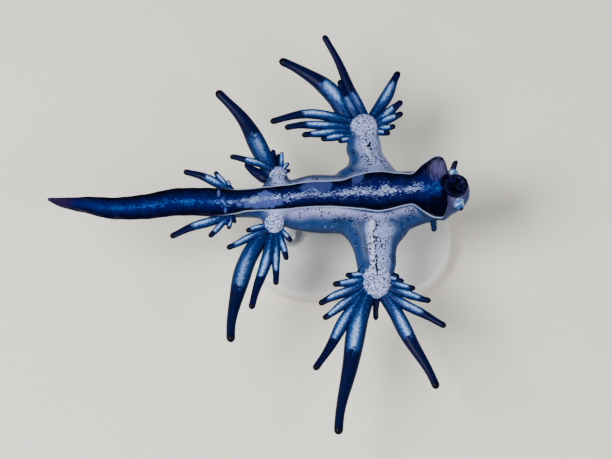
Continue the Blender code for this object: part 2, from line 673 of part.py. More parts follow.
def main():
    clear_scene()
    skin = finish("blue_skin", BLUE, 0.3)
    pale_skin = finish("silver_skin", SILVER_BLUE, 0.35)
    ceras_skin = finish("ceras_skin", NAVY, 0.25)
    mouth_skin = finish("mouth_skin", BLACK_BLUE, 0.3)
    stand_white = finish("stand_white", STAND_WHITE, 0.4)
    steel = finish("brushed_rod", STEEL, 0.35, 1.0)

    arms = {
        "front_left": FRONT_LEFT_ARM,
        "front_right": FRONT_RIGHT_ARM,
        "middle_left": MIDDLE_LEFT_ARM,
        "middle_right": MIDDLE_RIGHT_ARM,
    }
    limbs = {name: arm_solid(name, stations) for name, stations in arms.items()}
    trunk = [body_solid("trunk"), head_solid("front")]
    whole = join("whole", trunk + [copy_of(limb, "limb") for limb in limbs.values()])
    part_body(whole, skin)
    make_head(skin, mouth_skin)
    make_feelers(ceras_skin)

    arm_bounds = {
        "front_left": (FRONT_LEFT_CUTS[1], FRONT_LEFT_CUTS[0] - GAP),
        "front_right": (FRONT_RIGHT_CUTS[0] + GAP, FRONT_RIGHT_CUTS[1]),
    }
    for side, (low, high) in arm_bounds.items():
        name = "arm_" + side
        dress(within(whole, name, (-FAR, low, -FAR), (FAR, high, FAR)), name, pale_skin)

    fans = {
        "front_left": (FRONT_LEFT_PAD, FRONT_LEFT_CERATA, -FAR, FRONT_LEFT_CUTS[1] - GAP),
        "front_right": (FRONT_RIGHT_PAD, FRONT_RIGHT_CERATA, FRONT_RIGHT_CUTS[1] + GAP, FAR),
        "middle_left": (MIDDLE_LEFT_PAD, MIDDLE_LEFT_CERATA, -FAR, MIDDLE_LEFT_CUT - GAP),
        "middle_right": (MIDDLE_RIGHT_PAD, MIDDLE_RIGHT_CERATA, MIDDLE_RIGHT_CUT + GAP, FAR),
        "rear_left": (REAR_LEFT_PAD, REAR_LEFT_CERATA, -FAR, REAR_LEFT_EDGE),
        "rear_right": (REAR_RIGHT_PAD, REAR_RIGHT_CERATA, REAR_RIGHT_EDGE, FAR),
    }
    for side, (pad, cerata, low, high) in fans.items():
        limits = (-FAR, low, -FAR), (FAR, high, FAR)
        make_fan("cerata_" + side, limbs.get(side), pad, cerata, *limits, ceras_skin)

    make_stand(whole, stand_white, steel)
    bpy.data.objects.remove(whole, do_unlink=True)


main()
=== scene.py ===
"""Looks of the blue dragon sea slug: one wet skin, fans of cerata, a black mouth and a display stand.

Sizes are in millimetres inside the classes and become metres when a mesh is made. +X points to the
head, +Y to the animal's right side, and the foot, which is its belly, faces +Z.
"""

from __future__ import annotations

import logging
from dataclasses import dataclass, field
from enum import Enum
from math import cos, pi, radians, sin
from typing import Callable

import bpy
import numpy as np
from bpy.types import Material, Mesh, NodeSocket, NodeTree, Object
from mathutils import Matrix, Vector
from numpy.typing import NDArray


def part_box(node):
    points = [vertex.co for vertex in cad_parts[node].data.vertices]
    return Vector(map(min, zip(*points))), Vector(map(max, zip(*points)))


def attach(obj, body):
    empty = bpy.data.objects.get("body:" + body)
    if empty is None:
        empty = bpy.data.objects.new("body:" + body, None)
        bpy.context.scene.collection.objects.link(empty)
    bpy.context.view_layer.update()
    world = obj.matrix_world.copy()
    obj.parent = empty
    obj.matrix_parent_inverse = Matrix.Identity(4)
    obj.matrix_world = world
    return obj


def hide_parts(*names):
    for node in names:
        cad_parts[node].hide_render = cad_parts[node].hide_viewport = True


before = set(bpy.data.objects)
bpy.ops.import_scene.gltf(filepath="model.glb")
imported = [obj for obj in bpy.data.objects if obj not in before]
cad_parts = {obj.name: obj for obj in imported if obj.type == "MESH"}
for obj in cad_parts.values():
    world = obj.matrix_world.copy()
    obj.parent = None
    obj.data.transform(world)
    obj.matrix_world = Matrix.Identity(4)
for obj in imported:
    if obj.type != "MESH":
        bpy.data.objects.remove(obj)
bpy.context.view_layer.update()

Array = NDArray[np.float64]
Faces = NDArray[np.int64]
Triple = tuple[float, float, float]

LOG = logging.getLogger("sea_slug")
MM = 0.001
FOOT_Z = 10.0
TAIL_TIP_X = -25.2
BETWEEN_ARMS_Y = 0.5
FAR = 99.0
FLECKS = "Flecks"

# Distance from the tail's tip, middle across Y, half width of the foot, of the flank, and depth
TRUNK_TABLE = np.array([
    (0.0, 0.15, 0.1, 0.08, 0.38),
    (0.65, -0.08, 0.34, 0.2, 0.5),
    (1.93, -0.25, 0.57, 0.34, 0.7),
    (3.2, -0.39, 0.75, 0.45, 0.9),
    (4.5, -0.59, 0.93, 0.55, 1.05),
    (5.8, -0.69, 1.01, 0.62, 1.18),
    (7.0, -0.66, 1.08, 0.66, 1.28),
    (8.3, -0.51, 1.16, 0.72, 1.4),
    (9.6, -0.29, 1.23, 0.78, 1.5),
    (10.9, -0.11, 1.27, 0.83, 1.62),
    (12.2, -0.07, 1.28, 0.86, 1.72),
    (14.1, -0.13, 1.28, 0.9, 1.85),
    (15.4, -0.09, 1.15, 0.95, 2.0),
    (16.7, 0.05, 1.05, 1.05, 2.2),
    (18.5, 0.22, 1.12, 1.35, 2.6),
    (20.2, 0.35, 1.16, 2.15, 3.2),
    (21.7, 0.58, 1.2, 2.5, 3.8),
    (24.5, 0.65, 1.28, 2.57, 4.3),
    (25.7, 0.82, 1.55, 2.6, 4.5),
    (27.7, 0.88, 1.85, 2.65, 4.7),
    (29.2, 0.98, 1.6, 2.6, 4.6),
    (30.3, 1.06, 1.45, 2.5, 4.4),
    (31.3, 1.2, 2.2, 2.3, 4.1),
    (32.5, 1.27, 2.86, 2.1, 3.8),
    (33.1, 1.19, 2.52, 1.95, 3.5),
    (33.3, 1.25, 1.85, 1.6, 3.2),
    (33.42, 1.35, 1.2, 1.2, 2.9),
])

# Distance along, middle, half width, top and bottom below the foot
HEAD_TABLE = np.array([
    (32.0, 0.95, 1.7, 0.7, 3.1),
    (33.0, 0.95, 1.95, 0.15, 3.3),
    (33.8, 1.2, 1.65, 0.05, 3.2),
    (34.4, 1.25, 1.38, 0.08, 2.9),
    (34.83, 1.28, 1.02, 0.2, 2.5),
    (35.1, 1.28, 0.62, 0.5, 2.0),
    (35.2, 1.28, 0.28, 0.9, 1.6),
])


def smooth_table(table: Array, places: Array) -> Array:
    """Reads each column of a table by smooth cubic pieces.

    The slope at a row is the mean of its neighbours' slopes, or 0 where they differ in sign.

    Args:
        table: rows whose first column is the distance.
        places: distances to read at, held within the table.
    Returns:
        One row for each place, with the distance first.
    """
    along = table[:, 0]
    places = np.clip(places, along[0], along[-1])
    step = np.diff(along)
    columns = [places]
    i = np.clip(np.searchsorted(along, places, side="right") - 1, 0, len(step) - 1)
    t = (places - along[i]) / step[i]
    for values in table[:, 1:].T:
        slope = np.diff(values) / step
        tangent = np.concatenate([slope[:1], (slope[:-1] + slope[1:]) / 2, slope[-1:]])
        tangent[1:-1][slope[:-1] * slope[1:] <= 0] = 0.0
        columns.append(
            (1 + 2 * t) * (1 - t) ** 2 * values[i]
            + t * (1 - t) ** 2 * step[i] * tangent[i]
            + t * t * (3 - 2 * t) * values[i + 1]
            + t * t * (t - 1) * step[i] * tangent[i + 1]
        )
    return np.array(columns).T


def evenly(rows: tuple, count: int) -> Array:
    """Rows read smoothly at even shares of their number, with the share first."""
    table = np.column_stack([np.linspace(0, 1, len(rows)), np.array(rows)])
    return smooth_table(table, np.linspace(0, 1, count))


def ramp(values: Array, low: float, high: float) -> Array:
    """Smooth step: 0 below low, 1 above high, three t squared less two t cubed between."""
    t = np.clip((values - low) / (high - low), 0.0, 1.0)
    return t * t * (3 - 2 * t)


def circle(sides: int) -> Array:
    """Even turns round a circle, the last one short of the first."""
    return np.linspace(0, 2 * pi, sides, endpoint=False)


def crowded(count: int, power: float, last: float = 0.9998) -> Array:
    """Shares of a length that crowd to its end: 1 - (1 - s)^power, the last a hair short of 1."""
    return np.append((1 - (1 - np.linspace(0, 1, count)) ** power)[:-1], last)


def round_end(t: Array, cap: float) -> Array:
    """Girth with a round end: 1, then sqrt(1 - u^2) as u goes from 0 to 1 over the last share."""
    return np.sqrt(1 - np.clip((t - 1 + cap) / cap, 0, 1) ** 2)


@dataclass
class Surface:
    """A mesh as arrays: points in millimetres, faces of four and three sides, values at points."""

    points: Array
    quads: Faces
    triangles: Faces
    values: dict[str, Array] = field(default_factory=dict)

    def outward(self) -> Surface:
        """Turns every face round if the enclosed volume comes out negative.

        Returns:
            The surface itself.
        """
        halves = np.vstack([self.quads[:, [0, 1, 2]], self.quads[:, [0, 2, 3]], self.triangles])
        a, b, c = (self.points[halves[:, k]] for k in range(3))
        if np.einsum("ij,ij->i", a, np.cross(b, c)).sum() < 0:
            self.quads = self.quads[:, ::-1]
            self.triangles = self.triangles[:, ::-1]
        return self

    def to_object(self, name: str) -> Object:
        """Puts the arrays into a mesh object at the origin, in metres, shaded smooth.

        Args:
            name: the object's name.
        Returns:
            The object, linked to the scene.
        """
        mesh = bpy.data.meshes.new(name)
        faces = self.quads.tolist() + self.triangles.tolist()
        mesh.from_pydata((self.points * MM).tolist(), [], faces)
        add_values(mesh, self.values)
        mesh.shade_smooth()
        return linked(name, mesh)


def linked(name: str, data: bpy.types.ID) -> Object:
    """Makes an object and puts it into the scene.

    Args:
        name: its name.
        data: its mesh, lamp or camera.
    Returns:
        The object.
    """
    thing = bpy.data.objects.new(name, data)
    bpy.context.scene.collection.objects.link(thing)
    return thing


def add_values(mesh: Mesh, values: dict[str, Array]) -> None:
    """Stores numbers at the points, for materials to read.

    Args:
        mesh: the mesh that gets them.
        values: for each name, one number for each point.
    """
    for name, numbers in values.items():
        layer = mesh.attributes.new(name, "FLOAT", "POINT")
        layer.data.foreach_set("value", np.ascontiguousarray(numbers, np.float32))


def merged(surfaces: list[Surface]) -> Surface:
    """Lays surfaces that carry the same values side by side in one, unjoined.

    Args:
        surfaces: the surfaces.
    Returns:
        The one surface.
    """
    start = np.cumsum([0] + [len(s.points) for s in surfaces])
    keys = surfaces[0].values.keys()
    return Surface(
        np.vstack([s.points for s in surfaces]),
        np.vstack([s.quads + n for s, n in zip(surfaces, start)]),
        np.vstack([s.triangles + n for s, n in zip(surfaces, start)]),
        {key: np.concatenate([s.values[key] for s in surfaces]) for key in keys},
    )


def tube(x: Array, y: Array, z: Array, **values: Array | float) -> Surface:
    """A closed skin through rings of points, each end drawn together at its middle.

    Args:
        x, y, z: places that spread over rings by points.
        values: for each name, numbers that spread in the same way.
    Returns:
        The surface, with faces pointing out.
    """
    rings = np.stack(np.broadcast_arrays(x, y, z), axis=-1)
    count, sides = rings.shape[:2]
    index = np.arange(count * sides).reshape(count, sides)
    across = np.roll(index, -1, axis=1)
    quads = np.stack([index[:-1], across[:-1], across[1:], index[1:]], axis=-1).reshape(-1, 4)
    first, last = count * sides, count * sides + 1
    start = np.stack([np.full(sides, first), across[0], index[0]], axis=-1)
    end = np.stack([np.full(sides, last), index[-1], across[-1]], axis=-1)
    points = np.vstack([rings.reshape(-1, 3), rings[0].mean(axis=0), rings[-1].mean(axis=0)])
    full = {key: np.broadcast_to(numbers, (count, sides)) for key, numbers in values.items()}
    full = {key: np.append(v.ravel(), [v[0].mean(), v[-1].mean()]) for key, v in full.items()}
    return Surface(points, quads, np.vstack([start, end]), full).outward()


def turned(x: Array | float, y: float, out: Array, level: Array, sides: int) -> Surface:
    """A profile turned about an upright line: x + out cos a, y + out sin a, at its level.

    Args:
        x, y: where the line stands.
        out, level: the profile, distance from the line and height for each ring.
        sides: points in a ring.
    Returns:
        The closed skin.
    """
    turn = circle(sides)
    out = out[:, None]
    return tube(x + out * np.cos(turn), y + out * np.sin(turn), level[:, None])


def carried(path: Array, radius: Array, beside: Array, over: Array, sides: int) -> Array:
    """A section carried along a path: point + radius (beside cos a + over sin a).

    Args:
        path, radius: a point and a number for each ring.
        beside, over: the section's two directions, one for all rings or one for each.
        sides: points in a ring.
    Returns:
        X, Y and Z, each as rings by points.
    """
    turn = circle(sides)[:, None]
    section = np.cos(turn) * beside[..., None, :] + np.sin(turn) * over[..., None, :]
    return np.moveaxis(path[:, None, :] + radius[:, None, None] * section, -1, 0)


def read(items: bpy.types.bpy_prop_collection, key: str, width: int, kind: type) -> Array:
    """Reads a property of many items at once.

    Args:
        items: a mesh's points, normals or edges.
        key: the property's name.
        width: how many numbers each item has.
        kind: the kind of number.
    Returns:
        One row for each item.
    """
    found = np.empty(len(items) * width, kind)
    items.foreach_get(key, found)
    return found.reshape(-1, width)


def relaxed(mesh: Mesh, points: Array, rounds: int, share: Array | float, back: float) -> Array:
    """Smooths points by moving each half way to the mean of its neighbours and partly back.

    Args:
        mesh: the mesh whose edges say which points are neighbours.
        points: its points.
        rounds: how many times.
        share: how much of each step a point takes, 1 for all.
        back: the step back, below 0, which gives the volume back.
    Returns:
        The smoothed points.
    """
    a, b = read(mesh.edges, "vertices", 2, np.int32).T
    n = len(points)
    degree = np.maximum(np.bincount(a, minlength=n) + np.bincount(b, minlength=n), 1)[:, None]
    for step in (0.5, back) * rounds:
        total = [np.bincount(a, p[b], n) + np.bincount(b, p[a], n) for p in points.T]
        points = points + share * step * (np.array(total).T / degree - points)
    return points


class Value:
    """Something that a shader works out. Sums with it add Math nodes."""

    def __init__(self, make: Nodes, socket: NodeSocket) -> None:
        """Keeps the tree's calls and the socket."""
        self.make, self.socket = make, socket

    def __add__(self, other: Value | float) -> Value:
        """This plus the other."""
        return self.make.math("ADD", self, other)

    def __sub__(self, other: Value | float) -> Value:
        """This less the other."""
        return self.make.math("SUBTRACT", self, other)

    def __rsub__(self, other: float) -> Value:
        """The other less this."""
        return self.make.math("SUBTRACT", other, self)

    def __mul__(self, other: Value | float) -> Value:
        """This times the other."""
        return self.make.math("MULTIPLY", self, other)

    def __abs__(self) -> Value:
        """This without its sign."""
        return self.make.math("ABSOLUTE", self)

    def step(self, low: float, high: float) -> Value:
        """Smooth change from 0 where this is low to 1 where it is high."""
        values = {"Value": self, "From Min": low, "From Max": high}
        return self.make.node("MapRange", values, "Result", interpolation_type="SMOOTHSTEP")


class Nodes:
    """Short calls for making shader nodes in one tree, which read noise at its place."""

    def __init__(self, tree: NodeTree) -> None:
        """Keeps the tree, and object coordinates in millimetres as its place.

        Args:
            tree: the tree that nodes go into.
        """
        self.tree = tree
        place = {0: self.node("TexCoord", {}, "Object"), "Scale": 1.0 / MM}
        self.place = self.node("VectorMath", place, operation="SCALE")

    def put(self, socket: NodeSocket, value: Value | Triple | float) -> None:
        """Links a value to the socket, or sets the socket's own.

        Args:
            socket: an input.
            value: something worked out, a number, a vector or a colour.
        """
        if isinstance(value, Value):
            self.tree.links.new(value.socket, socket)
        elif socket.type == "RGBA":
            socket.default_value = (*value, 1.0)
        else:
            socket.default_value = value

    def node(self, kind: str, values: dict, out: str | int = 0, **settings: object) -> Value:
        """Makes a node.

        Args:
            kind: its kind, without the words ShaderNode.
            values: what goes into its inputs, by name or number.
            out: the output that is wanted.
            settings: its own settings.
        Returns:
            The output.
        """
        node = self.tree.nodes.new("ShaderNode" + kind)
        for key, setting in settings.items():
            setattr(node, key, setting)
        for key, value in values.items():
            self.put(node.inputs[key], value)
        return Value(self, node.outputs[out])

    def math(self, operation: str, a: Value | float, b: Value | float = 0.0) -> Value:
        """One arithmetic step on two numbers."""
        return self.node("Math", {0: a, 1: b}, operation=operation)

    def mix(self, share: Value, a: Value | Triple, b: Value | Triple) -> Value:
        """A colour between a, at share 0, and b, at share 1."""
        return self.node("Mix", {"Factor": share, 6: a, 7: b}, 2, data_type="RGBA")

    def layers(self, colour: Value | Triple, *layers: tuple[Value, Value | Triple]) -> Value:
        """Lays colours one over another.

        Args:
            colour: the lowest.
            layers: for each other, from the lowest up, the share that it covers and its colour.
        Returns:
            The colour seen from above.
        """
        for share, over in layers:
            colour = self.mix(share, colour, over)
        return colour

    def value(self, name: str) -> Value:
        """A number stored at the mesh's points."""
        return self.node("Attribute", {}, "Fac", attribute_name=name)

    def stretched(self, *scale: float) -> Value:
        """The place scaled along X, Y and Z, so that noise read there is drawn out."""
        return self.node("Mapping", {"Vector": self.place, "Scale": scale})

    def noise(self, scale: float, detail: float = 2.0, at: Value | None = None) -> Value:
        """Cloudy noise, scale in features for each millimetre."""
        values = {"Vector": at or self.place, "Scale": scale, "Detail": detail}
        return self.node("TexNoise", values, "Fac")

    def spread(
        self, scale: float, amount: float, detail: float = 2.0, at: Value | None = None
    ) -> Value:
        """Cloudy noise about 0, the amount from its lowest to its highest."""
        return (self.noise(scale, detail, at) - 0.5) * amount

    def cells(self, scale: float, at: Value | None = None) -> Value:
        """Distance to the nearest cell's centre."""
        values = {"Vector": at or self.place, "Scale": scale}
        return self.node("TexVoronoi", values, "Distance", feature="F1")

    def uneven(self, scale: float, pull: float = 4.0, reach: float = 0.35) -> Value:
        """Cells read at the place pulled about by noise.

        Args:
            scale, pull: features for each millimetre, of the cells and of the noise.
            reach: how far the noise pulls.
        Returns:
            Distance to the nearest cell's centre.
        """
        pulled = self.node("TexNoise", {"Vector": self.place, "Scale": pull}, "Color")
        values = {0: pulled, 1: (reach,) * 3, 2: self.place}
        return self.cells(scale, self.node("VectorMath", values, operation="MULTIPLY_ADD"))

    def flecks(self, grain: float, at: Value | None = None) -> Value:
        """Fine flecks from the shared group."""
        values = {"Place": at or self.place, "Grain": grain}
        return self.node("Group", values, "Bright", node_tree=bpy.data.node_groups[FLECKS])

    def relief(self, height: Value, reach: float, strength: float = 1.0) -> Value:
        """A normal bent by fine relief, its height in units of reach, in millimetres."""
        values = {"Height": height, "Distance": reach * MM, "Strength": strength}
        return self.node("Bump", values, "Normal")


def make_flecks() -> None:
    """Makes the node group of fine flecks: noise at a grain in flecks for each millimetre."""
    tree = bpy.data.node_groups.new(FLECKS, "ShaderNodeTree")
    tree.interface.new_socket("Place", in_out="INPUT", socket_type="NodeSocketVector")
    tree.interface.new_socket("Grain", in_out="INPUT", socket_type="NodeSocketFloat")
    tree.interface.new_socket("Bright", in_out="OUTPUT", socket_type="NodeSocketFloat")
    given = tree.nodes.new("NodeGroupInput").outputs
    noise = tree.nodes.new("ShaderNodeTexNoise")
    noise.inputs["Roughness"].default_value = 0.6
    tree.links.new(given["Place"], noise.inputs["Vector"])
    tree.links.new(given["Grain"], noise.inputs["Scale"])
    result = tree.nodes.new("NodeGroupOutput").inputs
    tree.links.new(noise.outputs["Fac"], result["Bright"])


class Slot(Enum):
    """The record's material slots."""

    SKIN = "blue_skin"
    CERAS = "ceras_skin"
    MOUTH = "mouth_skin"
    BASE = "stand_white"
    ROD = "brushed_rod"


def new_material(name: str, dress: Callable[[Nodes], dict]) -> Material:
    """Makes a material round its Principled shader.

    Args:
        name: the material's name.
        dress: gives what goes into the shader's inputs, by name.
    Returns:
        The material.
    """
    material = bpy.data.materials.new(name)
    material.use_nodes = True
    make = Nodes(material.node_tree)
    shader = material.node_tree.nodes["Principled BSDF"]
    for key, value in dress(make).items():
        make.put(shader.inputs[key], value)
    return material


@dataclass(frozen=True)
class Wet:
    """A wet surface: roughness of the flesh and of the film of water over it."""

    roughness: float = 0.28
    coat: float = 0.05
    coat_roughness: float = 0.1
    specular: float = 0.08

    def inputs(self, colour: Value, normal: Value) -> dict[str, Value | float]:
        """What goes into the shader: the wet values with a colour and a normal.

        Args:
            colour, normal: what the flesh looks like.
        Returns:
            The shader's inputs.
        """
        return {
            "Base Color": colour,
            "Normal": normal,
            "Roughness": self.roughness,
            "Coat Weight": self.coat,
            "Coat Roughness": self.coat_roughness,
            "Coat IOR": 1.33,
            "IOR": 1.34,
            "Specular IOR Level": self.specular,
        }


@dataclass(frozen=True)
class SkinFinish:
    """The trunk's markings: blue foot, pale rim, silver flanks, dotted pads and dark cracks."""

    wet: Wet = Wet()
    black: Triple = (0.0005, 0.0006, 0.005)
    navy: Triple = (0.0004, 0.0012, 0.018)
    royal: Triple = (0.0004, 0.0026, 0.062)
    azure: Triple = (0.006, 0.062, 0.3)
    silver: Triple = (0.26, 0.32, 0.52)
    sheen_lilac: Triple = (0.045, 0.068, 0.24)
    mauve: Triple = (0.062, 0.054, 0.132)
    steel: Triple = (0.0105, 0.032, 0.112)
    deep: Triple = (0.003, 0.014, 0.06)
    pale: Triple = (0.25, 0.26, 0.48)
    lit_chalk: Triple = (0.27, 0.32, 0.58)
    gleam: Triple = (0.52, 0.58, 0.82)
    rim: Triple = (0.3, 0.38, 0.6)
    ice: Triple = (0.05, 0.13, 0.36)
    highlight_frost: Triple = (0.38, 0.5, 0.78)
    bloom: Triple = (0.36, 0.4, 0.66)
    dorsal: Triple = (0.2, 0.235, 0.3)
    plum: Triple = (0.012, 0.006, 0.03)

    def dress(self, make: Nodes) -> dict[str, Value | float]:
        """Lays side, pale line and foot over one another, by the values stored on the skin.

        Args:
            make: calls that make nodes.
        Returns:
            The shader's inputs.
        """
        edge, rim_line = make.value("edge"), make.value("rim_line")
        far_side = make.value("across").step(0.0, 0.5) * 0.09 * rim_line
        colour = make.layers(
            self.side(make),
            (edge.step(-0.36, -0.2) * rim_line * 0.9, self.rim),
            ((edge - far_side).step(0.02, 0.08), self.foot(make)),
        )
        cobbles = make.cells(4.0) * make.value("pad").step(0.0, 0.1)
        height = make.noise(4.0, 3.0) + (make.flecks(7.5) * 0.5 - cobbles * 2.0)
        return self.wet.inputs(colour, make.relief(height, 0.03, 0.5))

    def foot(self, make: Nodes) -> Value:
        """Near-black margins, royal blue within, and a speckled silver stripe or azure flecks.

        Args:
            make: calls that make nodes.
        Returns:
            The foot's colour.
        """
        along = make.value("along")
        across = abs(make.value("across") + 0.03) + make.spread(1.3, 0.5)
        grain = make.flecks(10.5, make.stretched(0.55, 1.15, 1.0))
        lift = (0.42 - across) * 0.55 + make.spread(0.8, 0.35) + grain
        ragged = make.spread(2.2, 1.3, 3.0)
        # Painted sheen: ragged ellipses where the wet film on the foot gives back light.
        sheen_patch = (make.value("sheen_patch") + ragged).step(-0.1, 0.3) * (along.step(21.0, 19.5) + 1.0)
        front = along.step(11.0, 18.0) * along.step(32.3, 30.5)
        level = lift + (front - 1.0) * 0.15
        streaks = make.spread(5.0, 1.6, at=make.stretched(1.0, 0.22, 1.0))
        lobe = make.value("lobe") + ragged * 0.6 + streaks
        return make.layers(
            self.black,
            (across.step(0.82, 0.55), self.navy),
            ((across + make.spread(9.0, 1.2)).step(0.75, 0.15), self.royal),
            (lift.step(0.62, 0.84) * along.step(2.0, 8.5) * 0.85, self.azure),
            (sheen_patch * 0.42, self.sheen_lilac),
            (level.step(0.6, 0.84) * front * 0.9, self.silver),
            (level.step(0.8, 0.98) * front * 0.8, self.gleam),
            (lobe.step(-0.15, 0.9) * 0.95, self.mauve),
            ((make.value("hood") + ragged).step(-0.25, 0.5), self.black),
            (along.step(3.0, 0.8), self.plum),
        )

    def side(self, make: Nodes) -> Value:
        """Pale lavender where the flank faces up, steel blue as it turns away, grey beneath.

        The arms have chalky dotted bands, brightened by painted light on their rounded crests, with a
        gleam and a dark crack; the mouth has pale knobs with painted highlights scattered over them
        and a ring of painted shade round the lips; dark specks lie in drifts.

        Args:
            make: calls that make nodes.
        Returns:
            The colour of flanks, back, arms, pads and head.
        """
        along, up, crack = (make.value(key) for key in ("along", "up", "crack"))
        cloud = make.spread(0.7, 0.5, 3.0)
        lit, band = up + cloud, make.value("band") + cloud * 0.5
        by_rim = (make.value("edge") + cloud * 1.6).step(-2.0, -0.4) * along.step(17.0, 22.0)
        # The head: painted shade in black round the lips, where the head meets the mouth and the
        # foot.
        head = make.layers(
            self.steel, (lit.step(0.1, 0.9), self.mauve), (make.value("mouth_shade"), self.black)
        )
        dots = make.uneven(6.0).step(0.56, 0.4) * 0.9
        ridge = abs(make.value("mid") + 0.3).step(0.34, 0.05) * crack.step(0.2, 0.6)
        knob = (make.value("knob") + make.spread(3.0, 1.6, 3.0)).step(0.1, 0.9)
        # Painted highlights: pale bright spots scattered over the knobs' ice blue.
        ice_and_highlights = make.mix(make.uneven(3.2).step(0.3, 0.5), self.highlight_frost, self.ice)
        drift = make.noise(1.1).step(0.35, 0.62) * 0.42 + crack.step(0.0, 0.9) * 0.06
        specks = (drift - make.uneven(6.0)).step(-0.06, 0.03) * up.step(0.3, 0.8)
        pad = (make.value("pad") + make.spread(3.5, 0.6, 3.0)).step(0.0, 0.16)
        line = abs(make.value("mid") + make.spread(1.5, 0.8, 3.0)).step(0.075, 0.025)
        line = line * crack.step(0.2, 0.4) * make.noise(2.2).step(0.34, 0.44)
        return make.layers(
            self.deep,
            (lit.step(0.0, 0.45), self.steel),
            (lit.step(0.45, 0.9) * by_rim, self.pale),
            (along.step(17.0, 14.5), self.navy),
            (up.step(0.35, 0.05) * along.step(16.0, 10.0) * 0.2, self.steel),
            (make.value("head"), head),
            # Painted light: the pale band laid brighter along the arms' rounded crests, over their
            # pale skin.
            (band.step(0.05, 0.5) * 0.6, self.lit_chalk),
            (band.step(0.45, 0.85) * 0.8, self.lit_chalk),
            (ridge * 0.6, self.gleam),
            (dots * band.step(0.3, 0.8) * 0.6, self.steel),
            (knob, ice_and_highlights),
            (make.value("rear"), self.royal),
            (specks * make.value("specks") * 0.95, self.black),
            (pad, make.mix(dots, self.bloom, self.steel)),
            (line, self.black),
            (up.step(-0.15, -0.6), self.dorsal),
        )


@dataclass(frozen=True)
class CerasFinish:
    """A finger's markings: deep blue root and sides, silver band along its top and a navy tip, with
    painted sheen over flecks on its top.
    """

    wet: Wet = Wet(0.42, 0.03, 0.2, 0.12)
    black: Triple = (0.0005, 0.0006, 0.004)
    navy: Triple = (0.0003, 0.0012, 0.024)
    blue: Triple = (0.0004, 0.0025, 0.026)
    mid: Triple = (0.001, 0.012, 0.075)
    azure: Triple = (0.008, 0.055, 0.22)
    steel: Triple = (0.02, 0.08, 0.26)
    silver: Triple = (0.28, 0.4, 0.68)
    under: Triple = (0.12, 0.16, 0.25)

    def dress(self, make: Nodes) -> dict[str, Value | float]:
        """Lays the markings over one another, by the values stored on the cerata.

        The share of the half width away from the ridge is sqrt(1 - up^2).

        Args:
            make: calls that make nodes.
        Returns:
            The shader's inputs.
        """
        grain = make.flecks(7.0) - 0.5
        along, up, tip_at = (make.value(key) for key in ("along", "up", "tip_at"))
        aside = make.math("SQRT", 1.0 - up * up)
        reach = along - tip_at + make.spread(2.0, 0.16) + grain * 0.12
        share = make.math("DIVIDE", along, tip_at)
        lift = grain * 0.9 - share.step(0.72, 0.25) * 0.5 + (0.72 - aside)
        strength = reach.step(0.02, -0.03) * make.value("shine")
        # Painted sheen: lighter flecks on the navy tip, kept to its top.
        tip_flecks_and_sheen = grain.step(0.05, 0.16) * aside.step(0.9, 0.4) * 0.45
        colour = make.layers(
            self.blue,
            (aside.step(0.98, 0.62), self.mid),
            (grain.step(0.04, 0.14) * 0.45, self.azure),
            (share.step(0.5, 0.1) * 0.5, self.navy),
            (lift.step(0.0, 0.36) * strength * 0.85, self.steel),
            (lift.step(0.26, 0.72) * strength, self.silver),
            (reach.step(-0.01, 0.04), make.mix(tip_flecks_and_sheen, self.navy, self.mid)),
            (make.value("to_tip").step(0.5, 0.15), self.black),
            (up.step(-0.2, -0.7), self.under),
        )
        return self.wet.inputs(colour, make.relief(make.noise(6.0, 3.0), 0.02, 0.5))


@dataclass(frozen=True)
class MouthFinish:
    """Blue-black lips, wet, with faint purple glints painted over them in clouds."""

    wet: Wet = Wet(0.45, 0.06, 0.25)
    black: Triple = (0.0004, 0.0006, 0.006)
    glint_violet: Triple = (0.004, 0.005, 0.045)

    def dress(self, make: Nodes) -> dict[str, Value | float]:
        """The shader's inputs: the painted purple glints are a cloud over the black."""
        colour = make.mix(make.noise(3.0).step(0.42, 0.68), self.black, self.glint_violet)
        return self.wet.inputs(colour, make.relief(make.noise(8.0), 0.02))


@dataclass(frozen=True)
class StandFinish:
    """The stand's satin white base and its brushed rods."""

    white: Triple = (0.78, 0.77, 0.74)
    shade: Triple = (0.7, 0.69, 0.66)
    steel: Triple = (0.62, 0.63, 0.65)
    dull: Triple = (0.45, 0.46, 0.48)

    def base(self, make: Nodes) -> dict[str, Value | float]:
        """Satin plastic with a faint cast grain.

        Args:
            make: calls that make nodes.
        Returns:
            The shader's inputs.
        """
        cloud = make.noise(0.5, 3.0)
        return {
            "Base Color": make.mix(cloud, self.white, self.shade),
            "Roughness": cloud * 0.15 + 0.38,
            "Normal": make.relief(make.noise(12.0), 0.01, 0.3),
        }

    def rod(self, make: Nodes) -> dict[str, Value | float]:
        """Steel brushed round the rod: noise stretched thin along Z.

        Args:
            make: calls that make nodes.
        Returns:
            The shader's inputs.
        """
        lines = make.noise(2.0, 3.0, make.stretched(1.0, 1.0, 14.0))
        colour = make.mix(lines, self.steel, self.dull)
        return {"Base Color": colour, "Roughness": lines * 0.2 + 0.22, "Metallic": 1.0}


